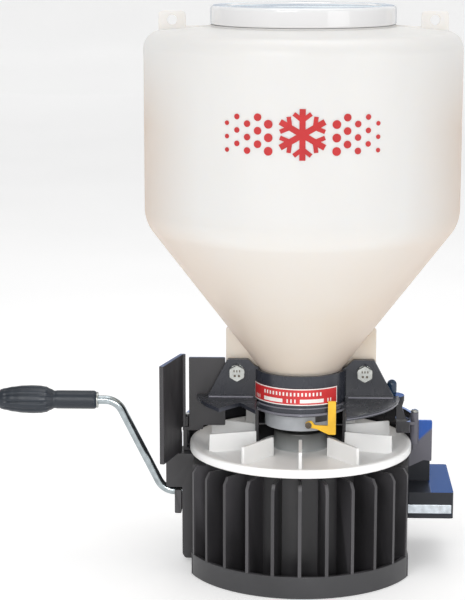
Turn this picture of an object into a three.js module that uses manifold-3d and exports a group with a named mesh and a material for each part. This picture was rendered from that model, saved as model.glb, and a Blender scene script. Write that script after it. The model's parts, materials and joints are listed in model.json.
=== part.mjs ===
// Hand-cranked broadcast salt spreader, carried on a shoulder strap.
// Millimetres, +Z up. The origin is the centre of the base's underside, on the spinner axis.
// -Y is the throwing side, +Y is the wearer's side and the crank is on -X.
import * as THREE from 'three';
import { mergeVertices } from 'three/addons/utils/BufferGeometryUtils.js';
import Module from 'manifold-3d';

const wasm = await Module();
wasm.setup();

// ---------------------------------------------------------------- driving dimensions
const GAP = 0.3; // clearance between separate pieces
const QUARTER = Math.PI / 2;
const LARGE = 32; // sides of a large round piece
const MEDIUM = 16;
const SMALL = 10;
const ARC = 20; // steps along a long arc

// hopper and lid
const HOPPER_R = 140;
const HOPPER_WALL = 3;
const SHOULDER_Z = 485;
const SHOULDER_R = 15;
const CONE_ANGLE = THREE.MathUtils.degToRad(52.7);
const CONE_BLEND_R = 34;
const SPOUT_R = 37.5;
const SPOUT_TOP = 183.4;
const SPOUT_BOTTOM = 159;
const NECK_R = 77;
const NECK_Z = 502;
const EAR_X = 115;
const EAR_Z = 494;
const WEB_HALF = 67.8;
const BOX_FAR = 200; // well beyond any piece, for cutting tools
const WEB_TOP = 219;
const WEB_BOTTOM = 171;
const LID_R = 81.5;
const LID_TOP = 507;
const LID_SKIRT = 490.5;

// support frame: collar, gussets and canopy
const COLLAR_R = 41.5;
const COLLAR_TOP = 182.8;
const COLLAR_BOTTOM = 146.5;
const NOZZLE_R = 37;
const NOZZLE_BOTTOM = 145;
const CANOPY_R = 89;
const CANOPY_Z = 153;
const CANOPY_T = 3.5;
const CANOPY_MIDDLE_R = 62;
const CANOPY_BACK_Y = -0.6;
const FRONT_GAP_HALF = 39.5; // open front of the canopy
const GUSSET_Y = -8;
const GUSSET_T = 6;
const GUSSET_TOP = 191;
const LABEL_LEFT = 76; // degrees from the front
const LABEL_RIGHT = 50;
const LABEL_BOTTOM = 157;
const LABEL_TOP = 172;
const LABEL_T = 0.5;
const BOLT_X = 57.5;
const BOLT_Z = 179.5;
const BOLT_R = 4;
const HEX_R = 7.5; // to the corners, so 13 mm across flats
const HEAD_Y = GUSSET_Y - 1.8; // the back of the bolt's head
const HEAD_H = 5.5;
const NUT_Y = 2;
const NUT_H = 6.4;
const WASHER_R = 6.9;

// gate and direction ring
const GATE_Z = 149.2;
const GATE_T = 2.6;
const GATE_R = 33.4;
const LEVER_ANGLE = THREE.MathUtils.degToRad(8.2);
const LEVER_R = 83.9; // to the middle of the paddle
const PADDLE_R = 11.5;
const PADDLE_TOP = 154.5;
const LEVER_SWING = THREE.MathUtils.degToRad(24);
const RING_R = 32.5;
const RING_BOTTOM = 131;
const POINTER_Z = 138;
const POINTER_BACK_Y = -35.1;
const POINTER_Y = POINTER_BACK_Y - 1.9; // front face of the flat pointer
const POINTER_SCREW_X = 7;
const TAB_X0 = 24.4; // the pointer's upright tab
const TAB_X1 = 31.5;
const SHROUD_R = 41.2;
const PORT_ANGLE = THREE.MathUtils.degToRad(45); // middle of the ring's port, from the front towards +X

// spinner
const DISC_R = 100.6;
const DISC_Z = 106.5;
const FLOOR_Z = 109.5;
const RIM_Z = 114.5;
const HUB_R = 24.5;
const HUB_TOP = 126;
const VANE_COUNT = 10;
const VANE_IN = 42;
const VANE_OUT = 86.5;
const VANE_TOP = 126.2;
const SHAFT_R = 4;
const SHAFT_TOP = 203;

// gears: a crown wheel on the crank drives a pinion on the spinner shaft
const MODULE = 1.5;
const PINION_TEETH = 10;
const CROWN_TEETH = 36;
const PINION_R = MODULE * PINION_TEETH / 2;
const CROWN_R = MODULE * CROWN_TEETH / 2;
const FACE = 6;
const BACKLASH = 0.22;
const GEAR_PIN_X = -PINION_R - MODULE * 1.15 - 7; // cross pin through the wheel's hub

// crank
const CRANK_Z = 65.6;
const THROW = 84.8;
const HANDLE_Z = CRANK_Z + THROW;
const PINION_Z = CRANK_Z - CROWN_R;
const PINION_PIN_Z = PINION_Z + 6.5;
const CLIP_Z = 21;
const ROD_R = 4;
const ROD_IN = -13.5;
const BEND_X = -125;
const ELBOW_X = -167.4;
const ROD_OUT = -270;
const GRIP_IN = -186;
const GRIP_OUT = -275;

// base
const DRUM_R = 106;
const SIDE_X = 96.2;
const BASE_TOP = 101.4;
const RING_H = 19.8;
const INNER_R = 78;
const WALL = 3;
const FIN_T = 3;
const FIN_STEP = THREE.MathUtils.degToRad(12.86);
const FIN_SIDE = 5; // fins each side of the middle one
const BACK_Y = 112;
const CORNER_Y = 85;
const CORNER_X = 70;
const BACK_BODY_Y = -40; // the closed body begins here, behind the fins
const BLOCK_X = -122.2;
const BLOCK_TOP = 103;
const BLOCK_Y0 = -10;
const BLOCK_Y1 = 17;
const BEARING_X0 = -114.5;
const BEARING_X1 = -108.3;
const BUSH_R = 7;
const COVER_SCREW_R = 71;
const COVER_ANGLES = [45, 135, 225, 315];
const COVER_T = 3.2;
const FOOT_R = 26;

// guard, deflector and tray
const GUARD_R = 104.5;
const GUARD_TOP = 134;
const GUARD_SCREW_X = 40;
const GUARD_SCREW_Y = 98;
const POST_X = 104.4;
const POST_Y = 15;
const POST_TOP = 137.7;
const STRUT_X = 87.5;
const STRUT_TOP = 148.6;
const WING_X = 120.8;
const WING_TOP = 129.3;
const PANEL_X0 = -101.7;
const PANEL_X1 = -68.7;
const PANEL_Y0 = 2;
const PANEL_Y1 = 5;
const PANEL_TOP = 190.2;
const SHELF_Z = 125;
const PIN_X = -104;
const PIN_Y = 10;
const PIN_R = 1.6;
const KNUCKLE_R = 3.6;
const KNUCKLE_TOP = 134;
const LEG_X0 = -107.2;
const LEG_X1 = -103.8;
const FLAP_FRONT = [-125.2, -48];
const FLAP_BOTTOM = 103.6;
const FLAP_TOP = 193;
const TRAY_X0 = SIDE_X + GAP;
const TRAY_X1 = 139;
const TRAY_Y0 = -17.6;
const TRAY_Y1 = 77;
const TRAY_Z = 71;
const TRAY_BOTTOM = 46.7;
const REAR_BOX_X = 119.6;
const REAR_BOX_Y = 21;
const REAR_BOX_TOP = 100;
const STRIP_Z0 = 51;
const STRIP_Z1 = 59.7;

// belly plate on the wearer's side
const BELLY_R = 420;
const BELLY_HALF = 80;
const BELLY_BOTTOM = 22;
const BELLY_TOP = 128;
const BELLY_T = 4;

// ---------------------------------------------------------------- materials
function material(name, color, roughness, metalness = 0) {
  return new THREE.MeshStandardMaterial({ name, color, roughness, metalness });
}
const natural = material('natural_plastic', 0xeeebe6, 0.45);
const white = material('white_plastic', 0xf2f2f0, 0.4);
const black = material('black_plastic', 0x3f3d41, 0.35);
const clear = material('clear_lid', 0xdbe8f0, 0.1);
const silver = material('grey_plastic', 0x90939a, 0.4);
const yellow = material('yellow_plastic', 0xf3c22f, 0.4);
const red = material('red_label', 0xc83232, 0.5);
const steel = material('zinc_steel', 0xa3a5a2, 0.35, 1);
const brass = material('bush_metal', 0xb08d57, 0.4, 1);
const nylon = material('gear_nylon', 0xd9d6cc, 0.5);
const gripBlack = material('grip_plastic', 0x2c333c, 0.45);

// ---------------------------------------------------------------- solids
function signedVolume(position, index) {
  const [a, b, c] = [new THREE.Vector3(), new THREE.Vector3(), new THREE.Vector3()];
  let sum = 0;
  for (let i = 0; i < index.length; i += 3) {
    a.fromArray(position, index[i] * 3);
    b.fromArray(position, index[i + 1] * 3);
    c.fromArray(position, index[i + 2] * 3);
    sum += a.dot(b.cross(c));
  }
  return sum / 6;
}

function solid(geometry) {
  geometry.deleteAttribute('normal');
  geometry.deleteAttribute('uv');
  const merged = mergeVertices(geometry, 1e-4);
  const position = new Float32Array(merged.attributes.position.array);
  const triangles = new Uint32Array(merged.index.array);
  if (signedVolume(position, triangles) < 0) {
    triangles.reverse();
  }
  return new wasm.Manifold(new wasm.Mesh({ numProp: 3, vertProperties: position, triVerts: triangles }));
}

function union(list) {
  return list.reduce((whole, piece) => whole.add(piece));
}

function box(x0, x1, y0, y1, z0, z1) {
  const geometry = new THREE.BoxGeometry(x1 - x0, y1 - y0, z1 - z0);
  geometry.translate((x0 + x1) / 2, (y0 + y1) / 2, (z0 + z1) / 2);
  return solid(geometry);
}

// a round bar along x, y or z from one station to another; the centre gives the other two places
function bar(axis, radius, from, to, centre = [0, 0], segments = MEDIUM) {
  const geometry = new THREE.CylinderGeometry(radius, radius, to - from, segments);
  const middle = (from + to) / 2;
  if (axis === 'x') {
    geometry.rotateZ(QUARTER);
    geometry.translate(middle, centre[0], centre[1]);
  } else if (axis === 'y') {
    geometry.translate(centre[0], middle, centre[1]);
  } else {
    geometry.rotateX(QUARTER);
    geometry.translate(centre[0], centre[1], middle);
  }
  return solid(geometry);
}

// a closed profile of [radius, height] points turned about +Z
function turned(profile, segments = LARGE) {
  const points = profile.map(([r, z]) => new THREE.Vector2(r, z));
  if (profile[0][0] > 0 || profile.at(-1)[0] > 0) {
    points.push(points[0].clone());
  }
  const geometry = new THREE.LatheGeometry(points, segments);
  geometry.rotateX(QUARTER);
  return solid(geometry);
}

// an outline with its corners rounded
function outline(points, radius = 0) {
  const shape = new THREE.Shape();
  const count = points.length;
  for (let i = 0; i < count; i += 1) {
    const here = new THREE.Vector2(...points[i]);
    const before = new THREE.Vector2(...points[(i + count - 1) % count]);
    const after = new THREE.Vector2(...points[(i + 1) % count]);
    const cut = Math.min(radius, here.distanceTo(before) / 2, here.distanceTo(after) / 2);
    const enter = here.clone().lerp(before, cut / here.distanceTo(before));
    const leave = here.clone().lerp(after, cut / here.distanceTo(after));
    if (i === 0) {
      shape.moveTo(enter.x, enter.y);
    } else {
      shape.lineTo(enter.x, enter.y);
    }
    if (radius > 0) {
      shape.quadraticCurveTo(here.x, here.y, leave.x, leave.y);
    }
  }
  shape.closePath();
  return shape;
}

// an outline in plan, raised from z0 to z1
function slab(shape, z0, z1, curveSegments = 5) {
  const geometry = new THREE.ExtrudeGeometry(shape, { depth: z1 - z0, bevelEnabled: false, curveSegments });
  geometry.translate(0, 0, z0);
  return solid(geometry);
}

// an outline of [x, z] points seen from the front, standing from y0 back to y1
function plate(shape, y0, y1, curveSegments = 5) {
  const geometry = new THREE.ExtrudeGeometry(shape, { depth: y1 - y0, bevelEnabled: false, curveSegments });
  geometry.rotateX(QUARTER);
  geometry.translate(0, y1, 0);
  return solid(geometry);
}

// a sector of a ring between two radii and two angles
function sector(inner, outer, start, end, z0, z1, segments = 12) {
  const shape = new THREE.Shape();
  shape.absarc(0, 0, outer, start, end, false);
  shape.absarc(0, 0, inner, end, start, true);
  shape.closePath();
  return slab(shape, z0, z1, segments);
}

function mirrored(body) {
  return body.mirror([1, 0, 0]);
}

const spreader = new THREE.Group();

function piece(name, body, surface) {
  const { vertProperties, triVerts } = body.getMesh();
  const geometry = new THREE.BufferGeometry();
  geometry.setAttribute('position', new THREE.BufferAttribute(vertProperties, 3));
  geometry.setIndex(new THREE.BufferAttribute(triVerts, 1));
  geometry.computeVertexNormals();
  const mesh = new THREE.Mesh(geometry, surface);
  mesh.name = name;
  spreader.add(mesh);
}

// ---------------------------------------------------------------- hopper and lid
// one side of the hopper's wall from the spout to the neck, moved in by an inset
function hopperSide(inset, bottom, top) {
  const arc = (cx, cz, radius, from, to, steps) => {
    const points = [];
    for (let i = 0; i <= steps; i += 1) {
      const angle = from + (to - from) * i / steps;
      points.push([cx + radius * Math.cos(angle), cz + radius * Math.sin(angle)]);
    }
    return points;
  };
  const slope = Math.tan(CONE_ANGLE);
  const normal = CONE_ANGLE - QUARTER;
  const blendX = HOPPER_R - CONE_BLEND_R;
  const tangentR = blendX + CONE_BLEND_R * Math.cos(normal);
  const tangentZ = SPOUT_TOP + (tangentR - SPOUT_R) * slope;
  const blendZ = tangentZ - CONE_BLEND_R * Math.sin(normal);
  const spoutZ = SPOUT_TOP - inset * slope + inset / Math.cos(CONE_ANGLE);
  const shoulder = SHOULDER_R - inset;
  return [
    [SPOUT_R - inset, bottom],
    [SPOUT_R - inset, spoutZ],
    ...arc(blendX, blendZ, CONE_BLEND_R - inset, normal, 0, 4),
    ...arc(HOPPER_R - SHOULDER_R, SHOULDER_Z - SHOULDER_R, shoulder, 0, QUARTER * 0.96, 3),
    [NECK_R - inset, SHOULDER_Z + 4 - inset],
    [NECK_R - inset, top],
  ];
}

function earPlate() {
  const ear = plate(outline([
    [EAR_X - 12, SHOULDER_Z - 8],
    [EAR_X + 12, SHOULDER_Z - 18],
    [EAR_X + 12, EAR_Z + 8],
    [EAR_X - 12, EAR_Z + 8],
  ], 4), -2, 2);
  const seam = plate(outline([
    [NECK_R - 1, SHOULDER_Z - 3],
    [EAR_X + 12, SHOULDER_Z - 12],
    [EAR_X + 12, SHOULDER_Z + 3],
    [NECK_R - 1, SHOULDER_Z + 5],
  ]), -1.2, 1.2);
  return ear.add(seam).subtract(bar('y', 4.25, -5, 5, [EAR_X, EAR_Z]));
}

function boltWeb() {
  const web = plate(outline([
    [-WEB_HALF, WEB_BOTTOM],
    [WEB_HALF, WEB_BOTTOM],
    [WEB_HALF, WEB_TOP],
    [-WEB_HALF, WEB_TOP],
  ], 3), -1.6, 1.6);
  const room = COLLAR_R + GAP;
  return web
    .subtract(box(-room, room, -5, 5, WEB_BOTTOM - 5, COLLAR_TOP + GAP))
    .subtract(bar('y', BOLT_R + GAP, -5, 5, [BOLT_X, BOLT_Z]))
    .subtract(bar('y', BOLT_R + GAP, -5, 5, [-BOLT_X, BOLT_Z]));
}

function hopper() {
  const [below, above] = [SPOUT_BOTTOM - 1, NECK_Z + 1];
  const outside = [[0, SPOUT_BOTTOM], ...hopperSide(0, SPOUT_BOTTOM, NECK_Z), [0, NECK_Z]];
  const inside = [[0, below], ...hopperSide(HOPPER_WALL, below, above), [0, above]];
  const ear = earPlate();
  return turned(outside)
    .add(ear)
    .add(mirrored(ear))
    .add(boltWeb())
    .subtract(turned(inside));
}

function lid() {
  return turned([
    [0, LID_TOP],
    [LID_R - 5, LID_TOP],
    [LID_R - 1.5, LID_TOP - 1.5],
    [LID_R, LID_TOP - 5],
    [LID_R, LID_SKIRT],
    [NECK_R + 1, LID_SKIRT],
    [NECK_R + 1, LID_TOP - 4],
    [0, LID_TOP - 3],
  ]);
}

piece('hopper', hopper(), natural);
piece('hopper_lid', lid(), clear);

// ---------------------------------------------------------------- support frame
function gusset() {
  const side = plate(outline([
    [COLLAR_R - 4, CANOPY_Z],
    [86, CANOPY_Z],
    [84.5, CANOPY_Z + 3],
    [66, GUSSET_TOP],
    [47.5, GUSSET_TOP],
    [41, COLLAR_TOP + 2],
    [COLLAR_R - 4, COLLAR_TOP],
  ], 1), GUSSET_Y, GUSSET_Y + GUSSET_T);
  const ledgeTop = CANOPY_Z + CANOPY_T + 2;
  const ledge = box(COLLAR_R - 2, CANOPY_R - 5, GUSSET_Y - 2, GUSSET_Y + 1, CANOPY_Z + 1, ledgeTop);
  return side.add(ledge).subtract(bar('y', BOLT_R + GAP, GUSSET_Y - 5, 2, [BOLT_X, BOLT_Z]));
}

// the canopy's left wing, with the notch in its front edge
const LEFT_WING = [
  [-94, CANOPY_BACK_Y],
  [-93.6, -7.7],
  [-85.6, -30.2],
  [-72.3, -51.9],
  [-54.3, -30],
  [-40, -57],
  [-FRONT_GAP_HALF, -57],
  [-FRONT_GAP_HALF, CANOPY_BACK_Y],
];

function canopy() {
  const [low, high] = [CANOPY_Z, CANOPY_Z + CANOPY_T];
  const rightWing = bar('z', CANOPY_R, low, high, [0, 0], LARGE)
    .intersect(box(FRONT_GAP_HALF, BOX_FAR, -BOX_FAR, CANOPY_BACK_Y, 0, BOX_FAR));
  const bridge = slab(outline([[-52, 20], [52, 20], [52, 108], [-52, 108]], 6), low, high);
  const middle = bar('z', CANOPY_MIDDLE_R, low, high, [0, 0], LARGE)
    .intersect(box(-BOX_FAR, BOX_FAR, -10, BOX_FAR, 0, BOX_FAR));
  const labelRoom = bar('z', COLLAR_R + 1.3, low - 1, high + 1)
    .intersect(box(-50, 50, -60, -10, 0, BOX_FAR));
  return union([slab(outline(LEFT_WING), low, high), rightWing, bridge, middle]).subtract(labelRoom);
}

function rib(x) {
  return box(x - 1.5, x + 1.5, 30, 104, CANOPY_Z + 1, CANOPY_Z + 10);
}

// three windows, each as wide as the gate's swing, so that the gate can shut them
function outletWindows(z0, z1) {
  return union([-2, 0, 2].map((step) => {
    const middle = -QUARTER + step * LEVER_SWING;
    return sector(9.5, 30.5, middle - LEVER_SWING / 2, middle + LEVER_SWING / 2, z0, z1, 4);
  }));
}

// the slot in the collar's side that the gate's lever swings in
function leverSlot() {
  const spare = THREE.MathUtils.degToRad(11.5);
  const [start, end] = [LEVER_ANGLE - spare, LEVER_ANGLE + LEVER_SWING + spare];
  return sector(30, COLLAR_R + 1, start, end, GATE_Z - GAP * 2, CANOPY_Z);
}

function frame() {
  const right = gusset();
  const body = union([
    bar('z', COLLAR_R, COLLAR_BOTTOM, COLLAR_TOP, [0, 0], LARGE),
    bar('z', NOZZLE_R, NOZZLE_BOTTOM, COLLAR_BOTTOM + 1, [0, 0], LARGE),
    canopy(),
    right,
    mirrored(right),
    rib(-30),
    rib(30),
  ]);
  const holes = union([
    bar('z', SPOUT_R + GAP, 156, COLLAR_TOP + 20, [0, 0], LARGE),
    bar('z', GATE_R + GAP * 2, NOZZLE_BOTTOM + 1.6, CANOPY_Z, [0, 0], LARGE),
    bar('z', RING_R + GAP, NOZZLE_BOTTOM - 1, NOZZLE_BOTTOM + 2, [0, 0], LARGE),
    outletWindows(CANOPY_Z - 1, 157),
    bar('z', SHAFT_R + 1.5, CANOPY_Z - 1, 157),
    leverSlot(),
    ...[-GUARD_SCREW_X, GUARD_SCREW_X].map((x) => (
      bar('z', 2.3, CANOPY_Z - 2, CANOPY_Z + 8, [x, GUARD_SCREW_Y], SMALL)
    )),
  ]);
  return body.subtract(holes);
}

piece('support_frame', frame(), black);

// a curved label round the front of the collar
function directionLabel() {
  const start = THREE.MathUtils.degToRad(-90 - LABEL_LEFT);
  const end = THREE.MathUtils.degToRad(-90 + LABEL_RIGHT);
  const inner = COLLAR_R + GAP;
  return sector(inner, inner + LABEL_T, start, end, LABEL_BOTTOM, LABEL_TOP, 18);
}

piece('direction_label', directionLabel(), red);

// hexagon bolts that clamp the hopper's web to the gussets, with their nuts and washers
function hexagon(radius, y0, y1, x, z) {
  const geometry = new THREE.CylinderGeometry(radius, radius, y1 - y0, 6);
  geometry.translate(x, (y0 + y1) / 2, z);
  return solid(geometry);
}

for (const [side, x] of [['left', -BOLT_X], ['right', BOLT_X]]) {
  const head = hexagon(HEX_R, HEAD_Y - HEAD_H, HEAD_Y, x, BOLT_Z);
  const shank = bar('y', BOLT_R, HEAD_Y - 1, NUT_Y + NUT_H + 3, [x, BOLT_Z]);
  const bore = bar('y', BOLT_R + GAP, -20, 20, [x, BOLT_Z]);
  const washer = bar('y', WASHER_R, HEAD_Y + GAP, GUSSET_Y - GAP, [x, BOLT_Z]);
  piece(`hopper_bolt_${side}`, head.add(shank), steel);
  piece(`bolt_washer_${side}`, washer.subtract(bore), steel);
  piece(`hopper_nut_${side}`, hexagon(HEX_R, NUT_Y, NUT_Y + NUT_H, x, BOLT_Z).subtract(bore), steel);
}

// ---------------------------------------------------------------- flow gate and direction ring
function flowGate() {
  const arm = box(20, LEVER_R, -6, 6, GATE_Z, GATE_Z + GATE_T);
  const paddle = bar('z', PADDLE_R, GATE_Z, PADDLE_TOP, [LEVER_R, 0], 24);
  const lever = arm.add(paddle).rotate([0, 0, THREE.MathUtils.radToDeg(LEVER_ANGLE)]);
  return bar('z', GATE_R, GATE_Z, GATE_Z + GATE_T, [0, 0], LARGE)
    .add(lever)
    .subtract(outletWindows(GATE_Z - 1, GATE_Z + 5))
    .subtract(bar('z', SHAFT_R + 1.5, GATE_Z - 1, GATE_Z + 5));
}

function leverKnob() {
  const foot = PADDLE_TOP + GAP;
  const knob = turned([
    [0, foot],
    [3.4, foot],
    [3.4, foot + 5.8],
    [4.3, foot + 7.7],
    [4.5, foot + 9.7],
    [4, foot + 12.2],
    [2.4, foot + 13.7],
    [0, foot + 14.1],
  ], MEDIUM);
  return knob.translate([LEVER_R, 0, 0]).rotate([0, 0, THREE.MathUtils.radToDeg(LEVER_ANGLE)]);
}

piece('flow_gate', flowGate(), black);
piece('lever_knob', leverKnob(), black);

function directionRing() {
  const body = turned([
    [0, RING_BOTTOM + 3],
    [RING_R - 3, RING_BOTTOM + 3],
    [RING_R - 3, RING_BOTTOM],
    [RING_R, RING_BOTTOM],
    [RING_R, NOZZLE_BOTTOM + 1.9],
    [GATE_R, NOZZLE_BOTTOM + 1.9],
    [GATE_R, GATE_Z - GAP * 2],
    [RING_R - 3, GATE_Z - GAP * 2],
    [RING_R - 3, RING_BOTTOM + 5.5],
    [0, RING_BOTTOM + 5.5],
  ]);
  const middle = PORT_ANGLE - QUARTER;
  const port = sector(10, 27, middle - 1, middle + 1, RING_BOTTOM + 2, RING_BOTTOM + 7);
  const boss = bar('y', 2.8, POINTER_BACK_Y + GAP, -RING_R + 2, [POINTER_SCREW_X, POINTER_Z], SMALL);
  return body
    .add(boss)
    .subtract(port)
    .subtract(bar('z', SHAFT_R + 1.5, RING_BOTTOM, RING_BOTTOM + 8))
    .subtract(pointerScrewBore());
}

// a half tube behind the hub that keeps the salt from falling on the wearer's side of the disc
function directionShroud() {
  const [start, end] = [THREE.MathUtils.degToRad(-6), THREE.MathUtils.degToRad(186)];
  const tube = sector(SHROUD_R - WALL, SHROUD_R, start, end, FLOOR_Z + 1.2, NOZZLE_BOTTOM - 0.6, ARC);
  const flangeTop = RING_BOTTOM - GAP;
  const flange = sector(RING_R - 2.5, SHROUD_R - 1, start, end, flangeTop - 1.4, flangeTop, ARC);
  return tube.add(flange);
}

function pointerScrewBore() {
  return bar('y', 1.3 + GAP, -45, -20, [POINTER_SCREW_X, POINTER_Z], SMALL);
}

function pointer() {
  return plate(outline([
    [4.4, 136],
    [4.4, 140.2],
    [7, 141.4],
    [9.8, 142],
    [12.8, 138],
    [TAB_X0, 137.5],
    [TAB_X0, 160],
    [TAB_X1, 160],
    [TAB_X1, 129.3],
    [25.2, 129.3],
    [14.5, 134.4],
    [8, 135.6],
  ], 1), POINTER_Y, POINTER_BACK_Y).subtract(pointerScrewBore());
}

function pointerScrew() {
  const head = bar('y', 3, POINTER_Y - 1.9, POINTER_Y - GAP, [POINTER_SCREW_X, POINTER_Z], SMALL);
  return head.add(bar('y', 1.3, POINTER_Y - 1, -RING_R + 5, [POINTER_SCREW_X, POINTER_Z], SMALL));
}

piece('direction_ring', directionRing(), silver);
piece('direction_shroud', directionShroud(), black);
piece('direction_pointer', pointer(), yellow);
piece('pointer_screw', pointerScrew(), steel);

// ---------------------------------------------------------------- spinner
function spinnerDisc() {
  const disc = turned([
    [SHAFT_R + GAP, HUB_TOP - 4],
    [HUB_R - 3, HUB_TOP - 4],
    [HUB_R - 2, DISC_Z],
    [DISC_R - 1.5, DISC_Z],
    [DISC_R, DISC_Z + 1.5],
    [DISC_R, RIM_Z - 1.5],
    [DISC_R - 1.5, RIM_Z],
    [DISC_R - 5, RIM_Z - 0.6],
    [82, FLOOR_Z + 0.6],
    [80, FLOOR_Z],
    [HUB_R + 2.5, FLOOR_Z],
    [HUB_R, FLOOR_Z + 3],
    [HUB_R - 0.8, HUB_TOP - 1.5],
    [HUB_R - 2.3, HUB_TOP],
    [SHAFT_R + GAP, HUB_TOP],
  ], 48);
  const vane = box(VANE_IN, VANE_OUT, -1.4, 1.4, FLOOR_Z - 0.5, VANE_TOP);
  const vanes = [];
  for (let i = 0; i < VANE_COUNT; i += 1) {
    vanes.push(vane.rotate([0, 0, -90 + i * 360 / VANE_COUNT]));
  }
  return union([disc, ...vanes]);
}

function spinnerShaft() {
  return bar('z', SHAFT_R, 9, SHAFT_TOP).subtract(bar('x', 1 + GAP, -9, 9, [0, PINION_PIN_Z], SMALL));
}

// the nut that holds the disc down on the shaft
function discNut() {
  const geometry = new THREE.CylinderGeometry(HEX_R, HEX_R, 5, 6);
  geometry.rotateX(QUARTER);
  geometry.translate(0, 0, HUB_TOP + GAP + 2.5);
  return solid(geometry).subtract(bar('z', SHAFT_R + GAP, 100, 150));
}

// wire fingers that keep the salt moving in the spout
function agitator() {
  const collar = bar('z', 8, 188, 198, [0, 0], MEDIUM);
  const finger = bar('x', 1.8, 3, 26, [0, 193], SMALL).rotate([0, 0, 30]);
  const other = finger.rotate([0, 0, 180]);
  return collar.add(finger).add(other).subtract(bar('z', SHAFT_R + GAP, 180, 210));
}

function clip(z0, z1) {
  return bar('z', 7.4, z0, z1, [0, 0], MEDIUM).subtract(bar('z', SHAFT_R + GAP, z0 - 1, z1 + 1));
}

piece('spinner_disc', spinnerDisc(), white);
piece('spinner_shaft', spinnerShaft(), steel);
piece('disc_nut', discNut(), steel);
piece('agitator', agitator(), steel);
piece('shaft_clip', clip(CLIP_Z, CLIP_Z + 1.4), steel);
piece('thrust_washer', clip(CLIP_Z - 1.7, CLIP_Z - GAP), nylon);

// ---------------------------------------------------------------- gears
function involute(angle) {
  return Math.tan(angle) - angle;
}

const PRESSURE = THREE.MathUtils.degToRad(20);

// half a pinion tooth's angle at a radius
function toothAngle(radius) {
  const base = PINION_R * Math.cos(PRESSURE);
  const angle = Math.acos(Math.min(1, base / radius));
  return QUARTER / PINION_TEETH + involute(PRESSURE) - involute(angle) - BACKLASH / PINION_R;
}

function pinion() {
  const base = PINION_R * Math.cos(PRESSURE);
  const tip = PINION_R + MODULE * 0.9;
  const root = PINION_R - MODULE * 1.1;
  const corners = [];
  for (let i = 0; i < PINION_TEETH; i += 1) {
    const middle = i * 4 * QUARTER / PINION_TEETH;
    const flank = [
      [root, toothAngle(base) * 0.8],
      [base, toothAngle(base)],
      [(base + tip) / 2, toothAngle((base + tip) / 2)],
      [tip, toothAngle(tip)],
    ];
    const points = [
      ...flank.map(([r, a]) => [r, middle - a]),
      ...flank.reverse().map(([r, a]) => [r, middle + a]),
    ];
    corners.push(...points.map(([r, a]) => [r * Math.cos(a), r * Math.sin(a)]));
  }
  const shape = outline(corners);
  const z0 = PINION_Z - FACE / 2;
  return slab(shape, z0, z0 + FACE)
    .add(bar('z', 6, z0 + FACE - 0.5, z0 + FACE + 7, [0, 0], MEDIUM))
    .subtract(bar('z', SHAFT_R + GAP, z0 - 1, z0 + FACE + 8))
    .subtract(bar('x', 1 + GAP, -9, 9, [0, PINION_PIN_Z], SMALL));
}

function crownTooth() {
  const half = (Math.PI * MODULE / 4) - BACKLASH;
  const lean = Math.tan(PRESSURE);
  const up = MODULE * 0.75;
  const down = MODULE * 1.15;
  const shape = outline([
    [-half - lean * down, -down - 0.4],
    [half + lean * down, -down - 0.4],
    [half - lean * up, up],
    [-half + lean * up, up],
  ]);
  // the tooth's section lies across the radius and its length along it
  return plate(shape, CROWN_R - FACE / 2, CROWN_R + FACE / 2);
}

// the crown wheel is drawn with its teeth up, then turned so that they face the spinner shaft
function crownGear() {
  const teeth = [];
  const tooth = crownTooth();
  for (let i = 0; i < CROWN_TEETH; i += 1) {
    teeth.push(tooth.rotate([0, 0, (i + 0.5) * 360 / CROWN_TEETH]));
  }
  const rim = CROWN_R + FACE / 2;
  const back = -MODULE * 1.15;
  const wheel = turned([
    [0, back - 10],
    [9, back - 10],
    [9, back - 4],
    [CROWN_R - 8, back - 4],
    [CROWN_R - 5, back - 5.5],
    [rim, back - 5.5],
    [rim, back],
    [CROWN_R - 5, back],
    [CROWN_R - 8, back - 1.2],
    [0, back - 1.2],
  ]);
  return union([wheel, ...teeth])
    .subtract(bar('z', ROD_R + GAP, -30, 10))
    .rotate([0, 90, 0])
    .translate([-PINION_R, 0, CRANK_Z])
    .subtract(bar('y', 1.2 + GAP, -20, 20, [GEAR_PIN_X, CRANK_Z], SMALL));
}

piece('crank_gear', crownGear(), nylon);
piece('gear_pin', bar('y', 1.2, -8.6, 8.6, [GEAR_PIN_X, CRANK_Z], SMALL), steel);
piece('spinner_pinion', pinion(), nylon);
piece('pinion_pin', bar('x', 1, -6.4, 6.4, [0, PINION_PIN_Z], SMALL), steel);

// ---------------------------------------------------------------- crank
// a path through given stations, each with its own direction
class StationCurve extends THREE.Curve {
  constructor(stations) {
    super();
    this.stations = stations;
  }

  at(u) {
    return this.stations[Math.round(u * (this.stations.length - 1))];
  }

  getPointAt(u) {
    return this.at(u).point.clone();
  }

  getTangentAt(u) {
    return this.at(u).tangent.clone();
  }
}

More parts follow.
